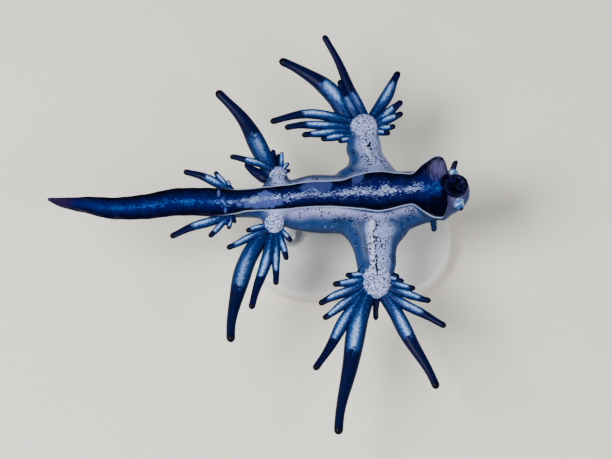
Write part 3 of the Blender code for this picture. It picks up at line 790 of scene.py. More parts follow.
@dataclass(frozen=True)
class Arm:
    """A flattened limb across Y that ends in a round pad.

    The table's rows give the place across, the middle along X, the half width, the depth below the
    foot and the half height. The pad is X, Y, depth below the foot, radius and half height. The
    pale band, the limb's pale skin brightened by painted light on its rounded crest, goes as far as
    its reach from the pad's middle, along X.
    """

    table: tuple[tuple[float, float, float, float, float], ...]
    pad: tuple[float, float, float, float, float]
    sides: int = 64
    band_reach: float = 4.5

    def surface(self) -> Surface:
        """Ellipses carried along the limb: x = middle + w cos a, z = level + h sin a.

        Returns:
            The limb's closed skin.
        """
        turn = circle(self.sides)
        _, y, middle, wide, below, high = evenly(self.table, 60).T[:, :, None]
        return tube(middle + wide * np.cos(turn), y, FOOT_Z - below + high * np.sin(turn))

    def pad_surface(self) -> Surface:
        """The pad, a flattened ball whose rim is fuller: out = radius cos(rise)^0.8.

        Returns:
            The pad's closed skin.
        """
        x, y, below, radius, high = self.pad
        rise = np.linspace(-pi / 2, pi / 2, 42)[1:-1]
        level = FOOT_Z - below + high * np.sin(rise)
        return turned(x, y, radius * np.cos(rise) ** 0.8, level, self.sides)

    def line(self, points: Array) -> tuple[Array, Array]:
        """Reads the limb's line at points' places across Y.

        Args:
            points: the skin's points.
        Returns:
            The limb's middle along X and its half width, for each point.
        """
        rows = evenly(self.table, 80)
        rows = rows[np.argsort(rows[:, 1])]
        return tuple(np.interp(points[:, 1], rows[:, 1], rows[:, k]) for k in (2, 3))

    def band(self, points: Array) -> Array:
        """Strength of the pale band along the limb, pale skin with painted light on its rounded
        crest, which leans to +X on the front arms.

        Args:
            points: the skin's points.
        Returns:
            One number for each point, from 0 to 1.
        """
        middle, wide = self.line(points)
        side = np.sign(self.pad[1] - BETWEEN_ARMS_Y)
        start = side * self.table[1][0]
        out = ramp(side * points[:, 1], start - 1.2, start + 1.4)
        aside = (points[:, 0] - middle) / wide
        near = 1 - ramp(np.abs(aside), 0.05, 0.7)
        if self.pad[3] > 1:
            soft = 0.4 if side > 0 else 0.0
            near = ramp(aside, -0.42 - soft, -0.2 + soft) * (1 - ramp(aside, 0.2 + soft, 1.0 + soft))
        return near * out * (np.abs(points[:, 0] - self.pad[0]) < self.band_reach)

    def middle_offset(self, points: Array) -> Array:
        """Signed distance along X from the limb's middle line, far off where the limb isn't.

        Args:
            points: the skin's points.
        Returns:
            One distance for each point.
        """
        away = points[:, 0] - self.line(points)[0]
        side = np.sign(points[:, 1] - BETWEEN_ARMS_Y)
        return np.where(side == np.sign(self.pad[1]), away, FAR)

    def pad_share(self, points: Array) -> Array:
        """Share of the pad's radius that is left to its rim, below 0 outside the upper face.

        Args:
            points: the skin's points.
        Returns:
            One number for each point, at least -1.
        """
        x, y, below, radius, _ = self.pad
        away = np.hypot(points[:, 0] - x, points[:, 1] - y) / radius
        under = 1 - ramp(points[:, 2], FOOT_Z - below, FOOT_Z - below + 0.2)
        return np.maximum(1 - away - 2 * under, -1)


FRONT_LEFT = Arm((
    (0.0, 2.2, 3.2, 2.5, 1.75),
    (-1.7, 2.1, 2.8, 2.6, 1.6),
    (-2.7, 2.05, 2.08, 2.7, 1.35),
    (-3.6, 2.1, 1.78, 2.8, 1.15),
    (-4.6, 2.2, 1.65, 2.9, 1.0),
    (-5.3, 2.2, 1.5, 2.9, 0.9),
    (-6.2, 2.25, 1.2, 2.9, 0.75),
), (2.25, -6.37, 2.9, 1.3, 0.8))
FRONT_RIGHT = Arm((
    (2.0, 1.5, 3.2, 2.5, 1.75),
    (3.4, 1.45, 2.7, 2.6, 1.6),
    (4.2, 1.65, 1.95, 2.7, 1.35),
    (5.1, 1.46, 1.56, 2.8, 1.1),
    (5.8, 1.2, 1.5, 2.9, 1.0),
    (6.6, 1.18, 1.4, 2.9, 0.9),
    (7.6, 1.17, 1.15, 2.9, 0.75),
), (1.17, 7.86, 2.9, 1.3, 0.8))
MIDDLE_LEFT = Arm((
    (0.3, -5.7, 2.3, 1.3, 1.0),
    (-0.7, -6.0, 1.8, 1.25, 0.95),
    (-1.2, -6.2, 1.25, 1.2, 0.85),
    (-1.8, -6.33, 0.9, 1.2, 0.7),
    (-2.3, -6.33, 0.6, 1.2, 0.5),
), (-6.33, -1.9, 1.2, 0.88, 0.65))
MIDDLE_RIGHT = Arm((
    (0.3, -5.6, 2.2, 1.3, 1.0),
    (1.5, -5.9, 1.7, 1.25, 0.95),
    (2.1, -6.0, 1.1, 1.2, 0.8),
    (2.7, -6.0, 0.8, 1.2, 0.65),
    (3.2, -6.0, 0.5, 1.2, 0.5),
), (-6.0, 2.85, 1.2, 0.8, 0.6))
REAR_LEFT = Arm((), (-10.2, -1.6, 0.85, 0.36, 0.3))
REAR_RIGHT = Arm((), (-10.1, 1.45, 0.85, 0.34, 0.3))


@dataclass(frozen=True)
class Ceras:
    """One finger: root and tip in X and Y, sideways bow, width, root's level and the tip's rise.

    The navy tip begins at the share tip_at, and shine is the strength of the silver band.
    Flatness is the section's height over its width.
    """

    root_x: float
    root_y: float
    tip_x: float
    tip_y: float
    bow: float
    width: float
    level: float
    lift: float
    tip_at: float
    shine: float
    flatness: float = 0.86

    def girth(self, t: Array, length: float) -> Array:
        """Share of the full width: narrow root, fullest in the silver part, then a taper.

        Args:
            t: shares of the length.
            length: the finger's length.
        Returns:
            One share for each place, down to 0 at the round end.
        """
        end = float(np.clip(0.3 + 0.29 / self.width, 0.45, 0.85))
        fullest = 0.7 * float(np.clip(self.tip_at, 0.4, 0.8))
        rise = 0.74 + 0.26 * ramp(t, -0.12, fullest)
        taper = 1 - (1 - end) * ramp(t, fullest, 0.92)
        return rise * taper * round_end(t, 0.6 * end * self.width / length)

    def surface(self, below: float, number: int, sides: int = 28, count: int = 52) -> Surface:
        """A flattened section carried along a bowed path.

        The path is start + forward t L + sideways 4 b t (1 - t), rising by lift t^1.5. A slow wave
        and slight lumps, different for each finger, keep it from looking turned on a lathe.

        Args:
            below: the pad's depth below the foot.
            number: the finger's place in its fan.
            sides: points in a ring.
            count: rings.
        Returns:
            The finger's closed skin, with its values.
        """
        t = crowded(count, 1.8)
        level = FOOT_Z - below + self.level
        root = np.array([self.root_x, self.root_y, level])
        tip = np.array([self.tip_x, self.tip_y, level])
        reach = float(np.linalg.norm(tip - root))
        forward = (tip - root) / reach
        sideways = np.array([-forward[1], forward[0], 0.0])
        sink = 0.5 + 0.25 * self.width
        length = reach + sink
        wave = 0.012 * length * np.sin(t * 7.0 + number * 1.7)
        aside = 4 * t * (1 - t) * (self.bow + wave)
        path = root + np.outer(t * length - sink, forward) + np.outer(aside, sideways)
        path[:, 2] += self.lift * t**1.5
        lumps = 1 + 0.03 * np.sin(t * 19.0 + number * 2.3) * (1 - t)
        radius = self.width / 2 * self.girth(t, length) * lumps
        tangent = np.gradient(path, t, axis=0)
        tangent /= np.linalg.norm(tangent, axis=1, keepdims=True)
        beside = np.cross([0.0, 0.0, 1.0], tangent)
        beside /= np.linalg.norm(beside, axis=1, keepdims=True)
        flat = self.flatness * np.cross(tangent, beside)
        return tube(
            *carried(path, radius, beside, flat, sides),
            along=t[:, None],
            up=np.sin(circle(sides)),
            tip_at=self.tip_at,
            shine=self.shine,
            to_tip=(1 - t[:, None]) * length / self.width,
        )


@dataclass
class Fan:
    """One fan of cerata round its pad, each row the ten numbers of a finger."""

    node: str
    arm: Arm
    rows: tuple[tuple[float, ...], ...]

    def build(self) -> Object:
        """All the fan's fingers side by side in one piece, roots sunk in the pad."""
        fingers = [Ceras(*row).surface(self.arm.pad[2], n) for n, row in enumerate(self.rows)]
        return merged(fingers).to_object(self.node + "_fingers")


FANS = (
    Fan("cerata_front_left", FRONT_LEFT, (
        (1.33, -5.38, 0.57, -5.32, 0, 0.53, 0.1, 0.1, 0.6, 1),
        (1.19, -5.66, -0.39, -5.7, 0, 0.6, 0.15, 0.2, 0.75, 1),
        (1.14, -6.18, -1.44, -6.59, -0.06, 0.77, 0.15, 0.2, 0.8, 1),
        (1.05, -6.58, -2.59, -8.35, -0.13, 0.85, 0.1, 0.2, 0.8, 1),
        (1.0, -6.91, -2.25, -9.62, 0.11, 0.85, 0, 0.2, 0.88, 1),
        (1.03, -7.25, -2.97, -14.26, -0.01, 1.1, -0.2, 0.4, 0.62, 1),
        (1.54, -7.45, -0.98, -20.1, -0.43, 1.65, -0.35, 0.6, 0.44, 1),
        (2.19, -7.31, 2.15, -9.08, 0, 0.58, -0.35, -1, 0.05, 0),
        (2.83, -7.45, 7.22, -15.93, 0.22, 1.32, -0.25, 0.4, 0.5, 1),
        (3.29, -7.22, 7.98, -10.34, -0.11, 0.88, -0.05, 0.3, 0.62, 1),
        (3.48, -6.85, 6.74, -8.05, -0.09, 0.77, 0.12, 0.2, 0.75, 1),
        (3.48, -6.39, 5.45, -6.96, 0, 0.63, 0.15, 0.2, 0.8, 1),
        (3.48, -5.91, 4.49, -6.27, 0, 0.53, 0.12, 0.1, 0.6, 1),
        (3.44, -5.55, 4.12, -5.82, 0, 0.5, 0.1, 0.1, 0.5, 1),
    )),
    Fan("cerata_front_right", FRONT_RIGHT, (
        (-0.12, 6.81, -1.0, 6.6, 0, 0.57, 0.1, 0.1, 0.8, 1),
        (-0.21, 6.99, -2.43, 6.72, -0.08, 0.68, 0.15, 0.2, 0.82, 1),
        (-0.27, 7.42, -4.02, 7.09, -0.15, 0.77, 0.1, 0.2, 0.8, 1),
        (-0.29, 7.82, -5.46, 7.77, -0.31, 0.82, 0.15, 0.2, 0.68, 1),
        (-0.12, 8.29, -6.67, 8.29, -0.77, 0.91, 0.05, 0.3, 0.6, 1),
        (-0.58, 8.86, -5.93, 14.02, -1.01, 1.57, -0.3, 0.6, 0.5, 1),
        (0.62, 9.14, -0.85, 12.28, 0.17, 1.03, -0.1, 0.3, 0.6, 0.3),
        (1.12, 9.23, -2.18, 16.16, -0.04, 0.87, 0.1, 0.6, 0.3, 0.25),
        (2.08, 9.34, 4.13, 13.07, -0.09, 1.07, -0.25, 0.4, 0.75, 0.75),
        (2.42, 8.77, 4.4, 10.28, -0.11, 0.87, 0, 0.3, 0.7, 0.8),
        (2.5, 8.25, 4.45, 9.16, -0.02, 0.77, 0.15, 0.2, 0.75, 0.9),
        (2.62, 7.77, 3.85, 7.97, 0, 0.63, 0.15, 0.1, 0.75, 1),
        (2.62, 7.45, 3.4, 7.31, 0, 0.57, 0.1, 0.1, 0.6, 1),
    )),
    Fan("cerata_middle_left", MIDDLE_LEFT, (
        (-7.04, -1.84, -8.68, -2.38, 0, 0.53, 0.1, 0.1, 0.8, 1),
        (-7.0, -2.36, -10.27, -4.03, -0.04, 0.68, 0.15, 0.2, 0.85, 1),
        (-6.92, -2.66, -9.88, -12.52, -0.99, 1.55, -0.3, 0.6, 0.55, 0.5),
        (-6.54, -2.89, -8.22, -9.57, 0.02, 0.98, 0, 0.4, 0.6, 1),
        (-6.21, -2.91, -6.2, -7.38, 0.08, 0.73, 0.05, 0.3, 0.75, 1),
        (-5.79, -2.84, -5.28, -5.07, 0, 0.63, 0.1, 0.2, 0.78, 1),
        (-5.5, -2.57, -4.87, -3.35, 0, 0.52, 0.1, 0.1, 0.7, 1),
    )),
    Fan("cerata_middle_right", MIDDLE_RIGHT, (
        (-6.88, 3.52, -11.17, 10.44, -0.53, 1.58, -0.25, 0.5, 0.42, 0.4),
        (-7.04, 2.93, -8.71, 4.24, 0.25, 1.04, -0.35, -0.3, 0.05, 0),
        (-6.88, 3.25, -10.03, 4.31, -0.24, 0.65, 0.25, 0.2, 0.68, 1),
        (-6.28, 3.55, -6.43, 5.06, 0, 0.5, 0.1, 0.1, 0.1, 0),
        (-5.98, 3.66, -5.95, 4.79, 0, 0.47, -0.15, 0.1, 0.1, 0),
        (-5.76, 3.48, -5.68, 4.82, 0, 0.45, 0.15, 0.1, 0.92, 1),
        (-5.53, 3.36, -5.11, 3.88, 0, 0.43, 0.1, 0.1, 0.85, 1),
        (-5.46, 3.07, -4.96, 3.22, 0, 0.42, 0.05, 0.1, 0.7, 1),
    )),
    Fan("cerata_rear_left", REAR_LEFT, (
        (-10.46, -1.26, -14.98, -3.08, -0.16, 0.83, 0, 0.2, 0.62, 1),
        (-10.25, -1.42, -11.75, -3.06, 0, 0.57, 0.05, 0.1, 0.8, 1),
        (-9.96, -1.44, -10.12, -2.34, 0, 0.45, 0, 0.1, 0.85, 1),
        (-9.71, -1.29, -9.54, -1.7, 0, 0.42, -0.05, 0, 0.1, 0),
    )),
    Fan("cerata_rear_right", REAR_RIGHT, (
        (-10.46, 1.47, -13.9, 2.91, -0.2, 0.8, 0, 0.2, 0.58, 1),
        (-10.25, 1.5, -11.28, 2.93, 0, 0.52, 0.05, 0.1, 0.85, 1),
        (-10.04, 1.52, -10.2, 2.15, 0, 0.43, 0, 0.1, 0.85, 1),
    )),
)


@dataclass
class Trunk:
    """Foot, body, tail, collar, head, arms and pads as one skin.

    A knob is distance along, Y, level from the foot and radius. A crack is its arm's number, its
    shift along X, and where across it starts, is full, fades and ends. Each of the sheen_patches is
    an ellipse of painted sheen, light off the wet film, on the foot: its centre along and across, in
    half widths, and its half sizes. The lobe, the collar's mauve corner, is distance along, Y and
    radius. The hood, its black corner, has two half sizes.
    """

    voxel: float = 0.086
    rim: float = 0.35
    rings: int = 420
    top_points: int = 14
    rim_points: int = 9
    side_points: int = 30
    smoothing: int = 8
    web_smoothing: int = 45
    step_back: float = -0.52
    hollow_depth: float = 0.8
    lobe: Triple = (32.6, 2.85, 1.15)
    hood: tuple[float, float, float, float] = (32.8, -1.0, 2.0, 1.55)
    arms: tuple[Arm, ...] = (FRONT_LEFT, FRONT_RIGHT, MIDDLE_LEFT, MIDDLE_RIGHT)
    rear: tuple[Arm, ...] = (REAR_LEFT, REAR_RIGHT)
    knobs: tuple[tuple[float, ...], ...] = ((33.78, 2.66, -0.72, 0.5), (34.3, 0.0, -0.75, 0.4))
    crack_runs: tuple[tuple[float, ...], ...] = (
        (0, 0.0, 1.1, 1.8, 5.6, 6.1),
        (1, 0.45, 4.2, 4.7, 6.0, 6.4),
    )
    # Ellipses of painted sheen on the foot.
    sheen_patches: tuple[tuple[float, ...], ...] = (
        (17.9, -0.35, 2.1, 0.5),
        (18.1, 0.25, 0.7, 0.35),
        (22.4, 0.55, 1.3, 0.55),
        (25.8, 0.75, 0.5, 0.4),
        (14.25, 0.6, 0.13, 0.28),
        (14.8, -0.68, 0.12, 0.25),
    )
    nodes: tuple[str, ...] = (
        *("head", "foot_collar", "body_front", "body_middle", "body_rear"),
        *("tail_base", "tail_middle", "tail_tip", "arm_front_left", "arm_front_right"),
    )

    def body_surface(self) -> Surface:
        """The foot's flat top with a round thin rim, over an elliptic flank and back, along X.

        The top rises a little to the rim and ripples there. The flank is the half ellipse
        y = flank cos a, z = level + high sin a, from where it meets the rim.

        Returns:
            The body's closed skin.
        """
        rows = smooth_table(TRUNK_TABLE, np.linspace(0, TRUNK_TABLE[-1, 0], self.rings))
        along, middle, foot, flank, depth = rows.T[:, :, None]
        rim = np.minimum(self.rim, 0.5 * depth)
        high = (depth - rim) / 2
        share = np.linspace(0, 1, self.top_points, endpoint=False)[None, :]
        top_y = (foot - rim / 2) * share
        ripple = 0.035 * np.sin(1.9 * along + 0.8) + 0.02 * np.sin(4.3 * along)
        top_z = FOOT_Z - 0.05 + 0.07 * share**2 + ripple * share**3
        turn = np.linspace(pi / 2, -pi / 2, self.rim_points)[None, :]
        rim_y = foot - rim / 2 + rim / 2 * np.cos(turn)
        rim_z = FOOT_Z + 0.02 + ripple - rim / 2 + rim / 2 * np.sin(turn)
        start = np.arccos(np.clip((foot - 0.2) / flank, 0.3, 0.95))
        fall = start + (-pi / 2 - start) * np.linspace(0, 1, self.side_points)[None, :]
        side_z = FOOT_Z - rim - high + high * np.sin(fall)
        right_y = np.hstack([top_y, rim_y, flank * np.cos(fall)])
        right_z = np.hstack([top_z, rim_z, side_z])
        y = middle + np.hstack([right_y, -right_y[:, -2:0:-1]])
        z = np.hstack([right_z, right_z[:, -2:0:-1]])
        return tube(along + TAIL_TIP_X, y, z)

    def head_surface(self) -> Surface:
        """Ellipses along X whose width, top and bottom follow the head's table.

        Returns:
            The head's closed skin.
        """
        start, end = HEAD_TABLE[0, 0], HEAD_TABLE[-1, 0]
        share = 1 - (1 - np.linspace(0, 1, 60)) ** 1.5
        rows = smooth_table(HEAD_TABLE, start + (end - start) * share)
        along, middle, wide, top, bottom = rows.T[:, :, None]
        turn = circle(72)[None, :]
        z = FOOT_Z - (top + bottom) / 2 + (bottom - top) / 2 * np.sin(turn)
        return tube(along + TAIL_TIP_X, middle + wide * np.cos(turn), z)

    def knob(self, along: float, y: float, level: float, radius: float) -> Surface:
        """A round knob: out = radius cos(rise), up = radius sin(rise).

        Args:
            along, y, level: its centre, the level counted from the foot.
            radius: its radius.
        Returns:
            The knob's closed skin.
        """
        rise = np.linspace(-pi / 2, pi / 2, 20)[1:-1]
        height = FOOT_Z + level + radius * np.sin(rise)
        return turned(along + TAIL_TIP_X, y, radius * np.cos(rise), height, 32)

    def build(self) -> Object:
        """Fuses the parts into one even mesh, smooths it and stores its markings.

        Returns:
            The skin.
        """
        parts = [self.body_surface(), self.head_surface()]
        parts += [arm.surface() for arm in self.arms]
        parts += [arm.pad_surface() for arm in self.arms + self.rear]
        parts += [self.knob(*knob) for knob in self.knobs]
        rough = merged(parts).to_object("rough_skin")
        remesh = rough.modifiers.new("fuse", "REMESH")
        remesh.mode = "VOXEL"
        remesh.voxel_size = self.voxel * MM
        graph = bpy.context.evaluated_depsgraph_get()
        mesh = bpy.data.meshes.new_from_object(rough.evaluated_get(graph))
        bpy.data.objects.remove(rough, do_unlink=True)
        mesh.name = "skin"
        mesh.shade_smooth()
        points = read(mesh.vertices, "co", 3, np.float64) / MM
        points = relaxed(mesh, points, self.smoothing, 1.0, self.step_back)
        points = self.webbed(mesh, points)
        points[:, 2] -= self.hollow(points)
        mesh.vertices.foreach_set("co", (points * MM).ravel())
        mesh.update()
        up = read(mesh.vertex_normals, "vector", 3, np.float32)[:, 2].astype(float)
        add_values(mesh, self.markings(points, up))
        return linked("skin", mesh)

    def hollow(self, points: Array) -> Array:
        """Depth by which the head's upper face is let down under the mouth.

        Args:
            points: the skin's points.
        Returns:
            One depth for each point.
        """
        away = np.hypot(points[:, 0] - TAIL_TIP_X - Mouth.centre[0], points[:, 1] - Mouth.centre[1])
        upper = ramp(points[:, 2], FOOT_Z - 1.6, FOOT_Z - 0.5)
        return self.hollow_depth * (1 - ramp(away, 0.6, 0.95)) * upper

    def webbed(self, mesh: Mesh, points: Array) -> Array:
        """Draws the flesh smooth where each limb leaves the flank, below the foot's rim.

        Args:
            mesh: the skin's mesh.
            points: its points.
        Returns:
            The smoothed points.
        """
        low = ramp(FOOT_Z - points[:, 2], 0.42, 0.9)
        near = np.zeros(len(points))
        for arm in self.arms:
            across, middle, wide = arm.table[1][:3]
            far = np.hypot((points[:, 0] - middle) / (wide + 1.6), (points[:, 1] - across) / 2.4)
            near = np.maximum(near, 1 - ramp(far, 0.7, 1.15))
        return relaxed(mesh, points, self.web_smoothing, (low * near)[:, None], 0.0)

    def markings(self, points: Array, up: Array) -> dict[str, Array]:
        """Where each point lies on the foot, flank, arms, pads and head.

        Args:
            points: the skin's points.
            up: how far it faces up there.
        Returns:
            For each name that the material reads, one number for each point.
        """
        along, y = points[:, 0] - TAIL_TIP_X, points[:, 1]
        rows = smooth_table(TRUNK_TABLE, along)
        across = (y - rows[:, 1]) / rows[:, 2]
        below = FOOT_Z - points[:, 2]
        edge = rows[:, 2] - np.abs(y - rows[:, 1]) - np.maximum(below - 0.1, 0)
        head = ramp(along, 32.9, 33.3)
        rim_line = ramp(along, 13.5, 17.0) * (1 - ramp(along, 32.8, 33.1))
        # Painted shade: black round the lips, between the head, the foot and the mouth.
        mouth_shade = np.hypot(along - Mouth.centre[0] + 0.25, y - Mouth.centre[1] - 0.15)
        pads = [arm.pad_share(points) for arm in self.arms]
        pads[1] = pads[1] - 0.1
        mid, crack = self.cracks(points)
        rear = [np.hypot(points[:, 0] - a.pad[0], y - a.pad[1]) for a in self.rear]
        place = np.column_stack([along, y, -below])
        knobs = [np.linalg.norm(place - k[:3], axis=1) / k[3] for k in self.knobs]
        centre, middle, radius = self.lobe
        lobe = np.hypot(along - centre, y - middle) / radius
        centre, middle, long, wide = self.hood
        hood = np.hypot((along - centre) / long, (y - middle) / wide)
        front = np.abs(along - 33.2) / 0.5 + ramp(y, 2.0, 2.6)
        # Painted sheen: how far inside each ellipse a point lies.
        sheen_patches = [
            np.hypot((along - centre) / long, (across - side) / wide)
            for centre, side, long, wide in self.sheen_patches
        ]
        return {
            "edge": np.minimum(edge, 33.4 - along),
            "across": np.clip(across, -2, 2),
            "along": along,
            "up": up,
            "rim_line": (1 - ramp(below, 0.42, 0.6)) * rim_line,
            "head": head,
            "mouth_shade": 1 - ramp(mouth_shade, 1.0, 1.3),
            "band": np.max([arm.band(points) for arm in self.arms], axis=0),
            "pad": np.max(pads, axis=0),
            "mid": mid,
            "crack": crack,
            "specks": ramp(along, 16.0, 19.0) * (1 - head),
            "sheen_patch": np.maximum(1 - np.min(sheen_patches, axis=0), -1),
            "rear": 1 - ramp(np.min(rear, axis=0), 0.45, 0.75),
            "knob": 1 - ramp(np.min(knobs, axis=0), 0.9, 1.45),
            "lobe": np.maximum(1 - lobe, -1),
            "hood": np.maximum(1 - np.minimum(hood, front), -1),
        }

    def cracks(self, points: Array) -> tuple[Array, Array]:
        """The dark cracks that run along the front arms' crests.

        Args:
            points: the skin's points.
        Returns:
            Signed distance from the nearer crack's line, and the cracks' strength.
        """
        mid = np.full(len(points), FAR)
        crack = np.zeros(len(points))
        for number, shift, start, full, fade, end in self.crack_runs:
            arm = self.arms[number]
            away = arm.middle_offset(points) - shift
            out = points[:, 1] * np.sign(arm.pad[1])
            strength = ramp(out, start, full) * (1 - ramp(out, fade, end))
            crack = np.maximum(crack, strength * (1 - ramp(np.abs(away), 0.3, 1.1)))
            mid = np.where(np.abs(away) < np.abs(mid), away, mid)
        return mid, crack


@dataclass
class Feeler:
    """A short blunt horn: start, direction, length, hook sideways at its end, and radius."""

    node: str
    start: Triple
    direction: Triple
    length: float
    hook: Triple = (0.0, 0.0, 0.0)
    radius: float = 0.27
    dark_from: float = 0.5
    shine: float = 0.0

    def build(self) -> Object:
        """A round section along start + t L axis + t^2 hook, with a round end.

        Returns:
            The horn, with the values that the cerata's material reads.
        """
        t = crowded(36, 1.7)
        axis = np.array(self.direction) / np.linalg.norm(self.direction)
        start = np.array(self.start) + (TAIL_TIP_X, 0.0, FOOT_Z)
        beside = np.cross(axis, [1.0, 0.0, 0.0])
        beside /= np.linalg.norm(beside)
        path = start + np.outer(t * self.length, axis) + np.outer(t * t, self.hook)
        radius = self.radius * (1.2 - 0.35 * t) * round_end(t, self.radius / self.length)
        return tube(
            *carried(path, radius, beside, np.cross(axis, beside), 24),
            along=t[:, None],
            up=0.3 + 0.67 * self.shine,
            tip_at=self.dark_from,
            shine=self.shine,
            to_tip=(1 - t[:, None]) * self.length + self.dark_from - 0.4,
        ).to_object(self.node + "_horn")


FEELERS = (
    Feeler(
        "oral_tentacle_left",
        (34.2, 0.1, -0.9),
        (0.3, -0.7, 0.3),
        0.88,
        radius=0.26,
        dark_from=0.88,
        shine=0.92,
    ),
    Feeler(
        "oral_tentacle_right",
        (33.7, 2.2, -1.0),
        (-0.02, 0.85, 0.25),
        1.7,
        (0.42, 0.0, 0.1),
        dark_from=0.35,
    ),
    Feeler("rhinophore_left", (32.1, -0.2, -2.4), (0.1, -0.85, -0.5), 1.5, dark_from=0.9),
    Feeler("rhinophore_right", (32.1, 2.56, -2.4), (0.1, 0.85, -0.5), 1.5, dark_from=0.9),
)


@dataclass
class Mouth:
    """Round lips with soft folds round a deep dark hollow.

    The profile's rows are distance from the axis, in radii, and height.
    """

    centre: Triple = (34.03, 1.37, 0.0)
    radius: float = 1.05
    pitch: float = 12.0
    fold: float = 0.06
    profile: tuple[tuple[float, float], ...] = (
        (0.3, -0.85),
        (0.85, -0.75),
        (0.95, -0.45),
        (1.0, -0.12),
        (0.97, 0.06),
        (0.86, 0.15),
        (0.7, 0.1),
        (0.54, -0.06),
        (0.4, -0.3),
        (0.24, -0.5),
        (0.08, -0.6),
    )

    def build(self) -> Object:
        """A profile turned about the mouth's axis, its radius and height rippled by the folds.

        Returns:
            The lips, leaning forward by the pitch.
        """
        share, out, height = evenly(self.profile, 60).T[:, :, None]
        turn = circle(120)[None, :]
        ripple = np.sin(7 * turn + 1.3 * np.sin(2 * turn)) + 0.6 * np.sin(12 * turn + 2.0)
        folds = ripple * ramp(share, 0.4, 0.7) * self.fold
        swell = 1 + 0.03 * np.sin(2 * turn + 0.7) + 0.02 * np.sin(3 * turn)
        out = out * self.radius * swell * (1 + folds)
        x, z = out * np.cos(turn), height + folds
        lean = radians(self.pitch)
        along, y, level = self.centre
        return tube(
            x * cos(lean) + z * sin(lean) + (along + TAIL_TIP_X),
            out * np.sin(turn) + y,
            z * cos(lean) - x * sin(lean) + (FOOT_Z + level),
        ).to_object("mouth_lips")


@dataclass
class Stand:
    """The flat base and two rods of the display stand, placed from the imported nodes.

    The rods' profile is distance from the axis, in radii, and height above the rod's foot.
    """

    edge: float = 0.35
    inside: float = 1.5
    sunk: float = 0.32
    rods: tuple[str, ...] = ("stand_rod_front", "stand_rod_rear")
    foot: tuple[tuple[float, float], ...] = (
        (0.2, 0.0),
        (1.7, 0.0),
        (1.75, 0.05),
        (1.75, 0.3),
        (1.65, 0.42),
        (1.02, 0.5),
        (1.0, 0.6),
    )

    def corners(self, node: str) -> tuple[Array, Array]:
        """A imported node's lowest and highest corners, in millimetres."""
        low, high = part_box(node)
        return np.array(low) / MM, np.array(high) / MM

    def base(self) -> Object:
        """An outline of two half circles carried up a profile with rounded edges.

        Returns:
            The base.
        """
        low, high = self.corners("stand_base")
        radius = (high[1] - low[1]) / 2
        straight = (high[0] - low[0]) / 2 - radius
        sides = 160
        shift = np.where(np.cos(circle(sides)) >= 0, straight, -straight)
        bend = np.linspace(0, pi / 2, 8)
        rise, fall = self.edge * (1 - np.cos(bend)), self.edge * (1 - np.sin(bend))
        inset = np.concatenate([[self.inside], fall, rise, [self.inside]])
        level = np.concatenate([[low[2]], low[2] + rise, high[2] - fall, [high[2]]])
        return turned(shift, 0.0, radius - inset, level, sides).to_object("base_plate")

    def rod(self, node: str) -> Object:
        """A straight rod with a stepped foot, its top sunk a little into the skin.

        Args:
            node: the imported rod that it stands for.
        Returns:
            The rod.
        """
        low, high = self.corners(node)
        x, y = (low[:2] + high[:2]) / 2
        floor, top = low[2] - self.sunk, high[2] + 0.5
        out, level = np.array([*self.foot, (1.0, top - floor), (0.2, top - floor)]).T
        skin = turned(x, y, out * (high[0] - low[0]) / 2, floor + level, 40)
        thing = skin.to_object(node + "_turned")
        thing.data.set_sharp_from_angle(angle=radians(40))
        return thing


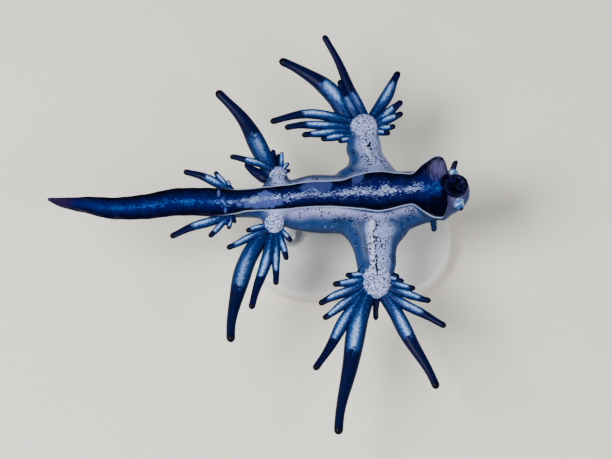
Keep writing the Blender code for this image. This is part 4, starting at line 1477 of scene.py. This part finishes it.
@dataclass
class Studio:
    """Camera, pale floor and soft lights. Pixels are the photograph's."""

    elevation: float = 66.0
    pixels_per_mm: float = 12.0
    distance: float = 1000.0
    photo_centre: tuple[float, float] = (306.0, 229.5)
    model_pixel: tuple[float, float] = (350.0, 200.0)
    sensor: float = 36.0
    photo_width: float = 612.0
    sheet: float = 1800.0
    sand: Triple = (0.74, 0.69, 0.6)
    cream: Triple = (0.8, 0.75, 0.67)
    sky: Triple = (0.85, 0.9, 1.0)
    surround: float = 0.3
    lamps: tuple[tuple[str, Triple, float], ...] = (
        ("key", (-100.0, -40.0, 150.0), 0.55),
        ("fill", (100.0, -90.0, 140.0), 0.22),
    )

    def camera(self) -> None:
        """Aims a long lens so that the model's pixel in the photograph falls where it should."""
        tilt = radians(self.elevation)
        right = (self.photo_centre[0] - self.model_pixel[0]) / self.pixels_per_mm
        rise = (self.model_pixel[1] - self.photo_centre[1]) / self.pixels_per_mm
        aim = Vector((right, rise * sin(tilt), FOOT_Z + rise * cos(tilt)))
        back = Vector((0.0, -cos(tilt), sin(tilt)))
        data = bpy.data.cameras.new("camera")
        data.sensor_width = self.sensor
        data.lens = self.pixels_per_mm * self.sensor * self.distance / self.photo_width
        data.clip_start = 0.01
        camera = linked("camera", data)
        camera.location = (aim + back * self.distance) * MM
        camera.rotation_euler = (-back).to_track_quat("-Z", "Y").to_euler()
        bpy.context.scene.camera = camera

    def dress(self, make: Nodes) -> dict[str, Value | float]:
        """The floor shader's inputs: two pale tones in soft clouds."""
        colour = make.mix(make.noise(0.05, 3.0), self.sand, self.cream)
        return {"Base Color": colour, "Roughness": 0.8}

    def floor(self) -> None:
        """A wide pale sheet under the stand."""
        corners = np.array([(-1, -1, 0), (1, -1, 0), (1, 1, 0), (-1, 1, 0)]) * self.sheet / 2
        sheet = Surface(corners, np.array([[0, 1, 2, 3]]), np.empty((0, 3), int)).to_object("floor")
        sheet.data.materials.append(new_material("floor", self.dress))

    def light(self, name: str, place: Triple, power: float, size: float = 90.0) -> None:
        """Puts up a square soft light that faces the model.

        Args:
            name: the lamp's name.
            place: where it hangs, in millimetres.
            power: its strength in watts.
            size: its side, in millimetres.
        """
        data = bpy.data.lights.new(name, "AREA")
        data.size = size * MM
        data.energy = power
        lamp = linked(name, data)
        lamp.location = Vector(place) * MM
        aim = Vector((0.0, 0.0, FOOT_Z)) - Vector(place)
        lamp.rotation_euler = aim.to_track_quat("-Z", "Y").to_euler()

    def lights(self) -> None:
        """Key from upper left, fill from the right and front, and an even pale surround."""
        for lamp in self.lamps:
            self.light(*lamp)
        world = bpy.data.worlds.new("surround")
        world.use_nodes = True
        background = world.node_tree.nodes["Background"]
        background.inputs["Color"].default_value = (*self.sky, 1.0)
        background.inputs["Strength"].default_value = self.surround
        bpy.context.scene.world = world


def place(piece: Object, slot: Slot, material: Material, *nodes: str) -> None:
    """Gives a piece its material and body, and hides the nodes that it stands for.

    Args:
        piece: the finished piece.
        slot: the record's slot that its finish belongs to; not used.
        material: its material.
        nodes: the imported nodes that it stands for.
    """
    piece.data.materials.clear()
    piece.data.materials.append(material)
    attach(piece, "root")
    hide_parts(*nodes)
    LOG.info("%s: %d faces", piece.name, len(piece.data.polygons))


def main() -> None:
    """Builds the pieces in order, then the studio."""
    logging.basicConfig(level=logging.INFO)
    studio = Studio()
    studio.camera()
    make_flecks()
    trunk = Trunk()
    skin_finish = new_material("slug_skin", SkinFinish().dress)
    place(trunk.build(), Slot.SKIN, skin_finish, *trunk.nodes)
    ceras_skin = new_material("ceras_skin", CerasFinish().dress)
    for part in FANS + FEELERS:
        place(part.build(), Slot.CERAS, ceras_skin, part.node)
    lip_skin = new_material("mouth_skin", MouthFinish().dress)
    place(Mouth().build(), Slot.MOUTH, lip_skin, "mouth")
    stand, finish = Stand(), StandFinish()
    place(stand.base(), Slot.BASE, new_material("stand_white", finish.base), "stand_base")
    rod_finish = new_material("brushed_rod", finish.rod)
    for node in stand.rods:
        place(stand.rod(node), Slot.ROD, rod_finish, node)
    studio.floor()
    studio.lights()


if __name__ == "__main__":
    main()
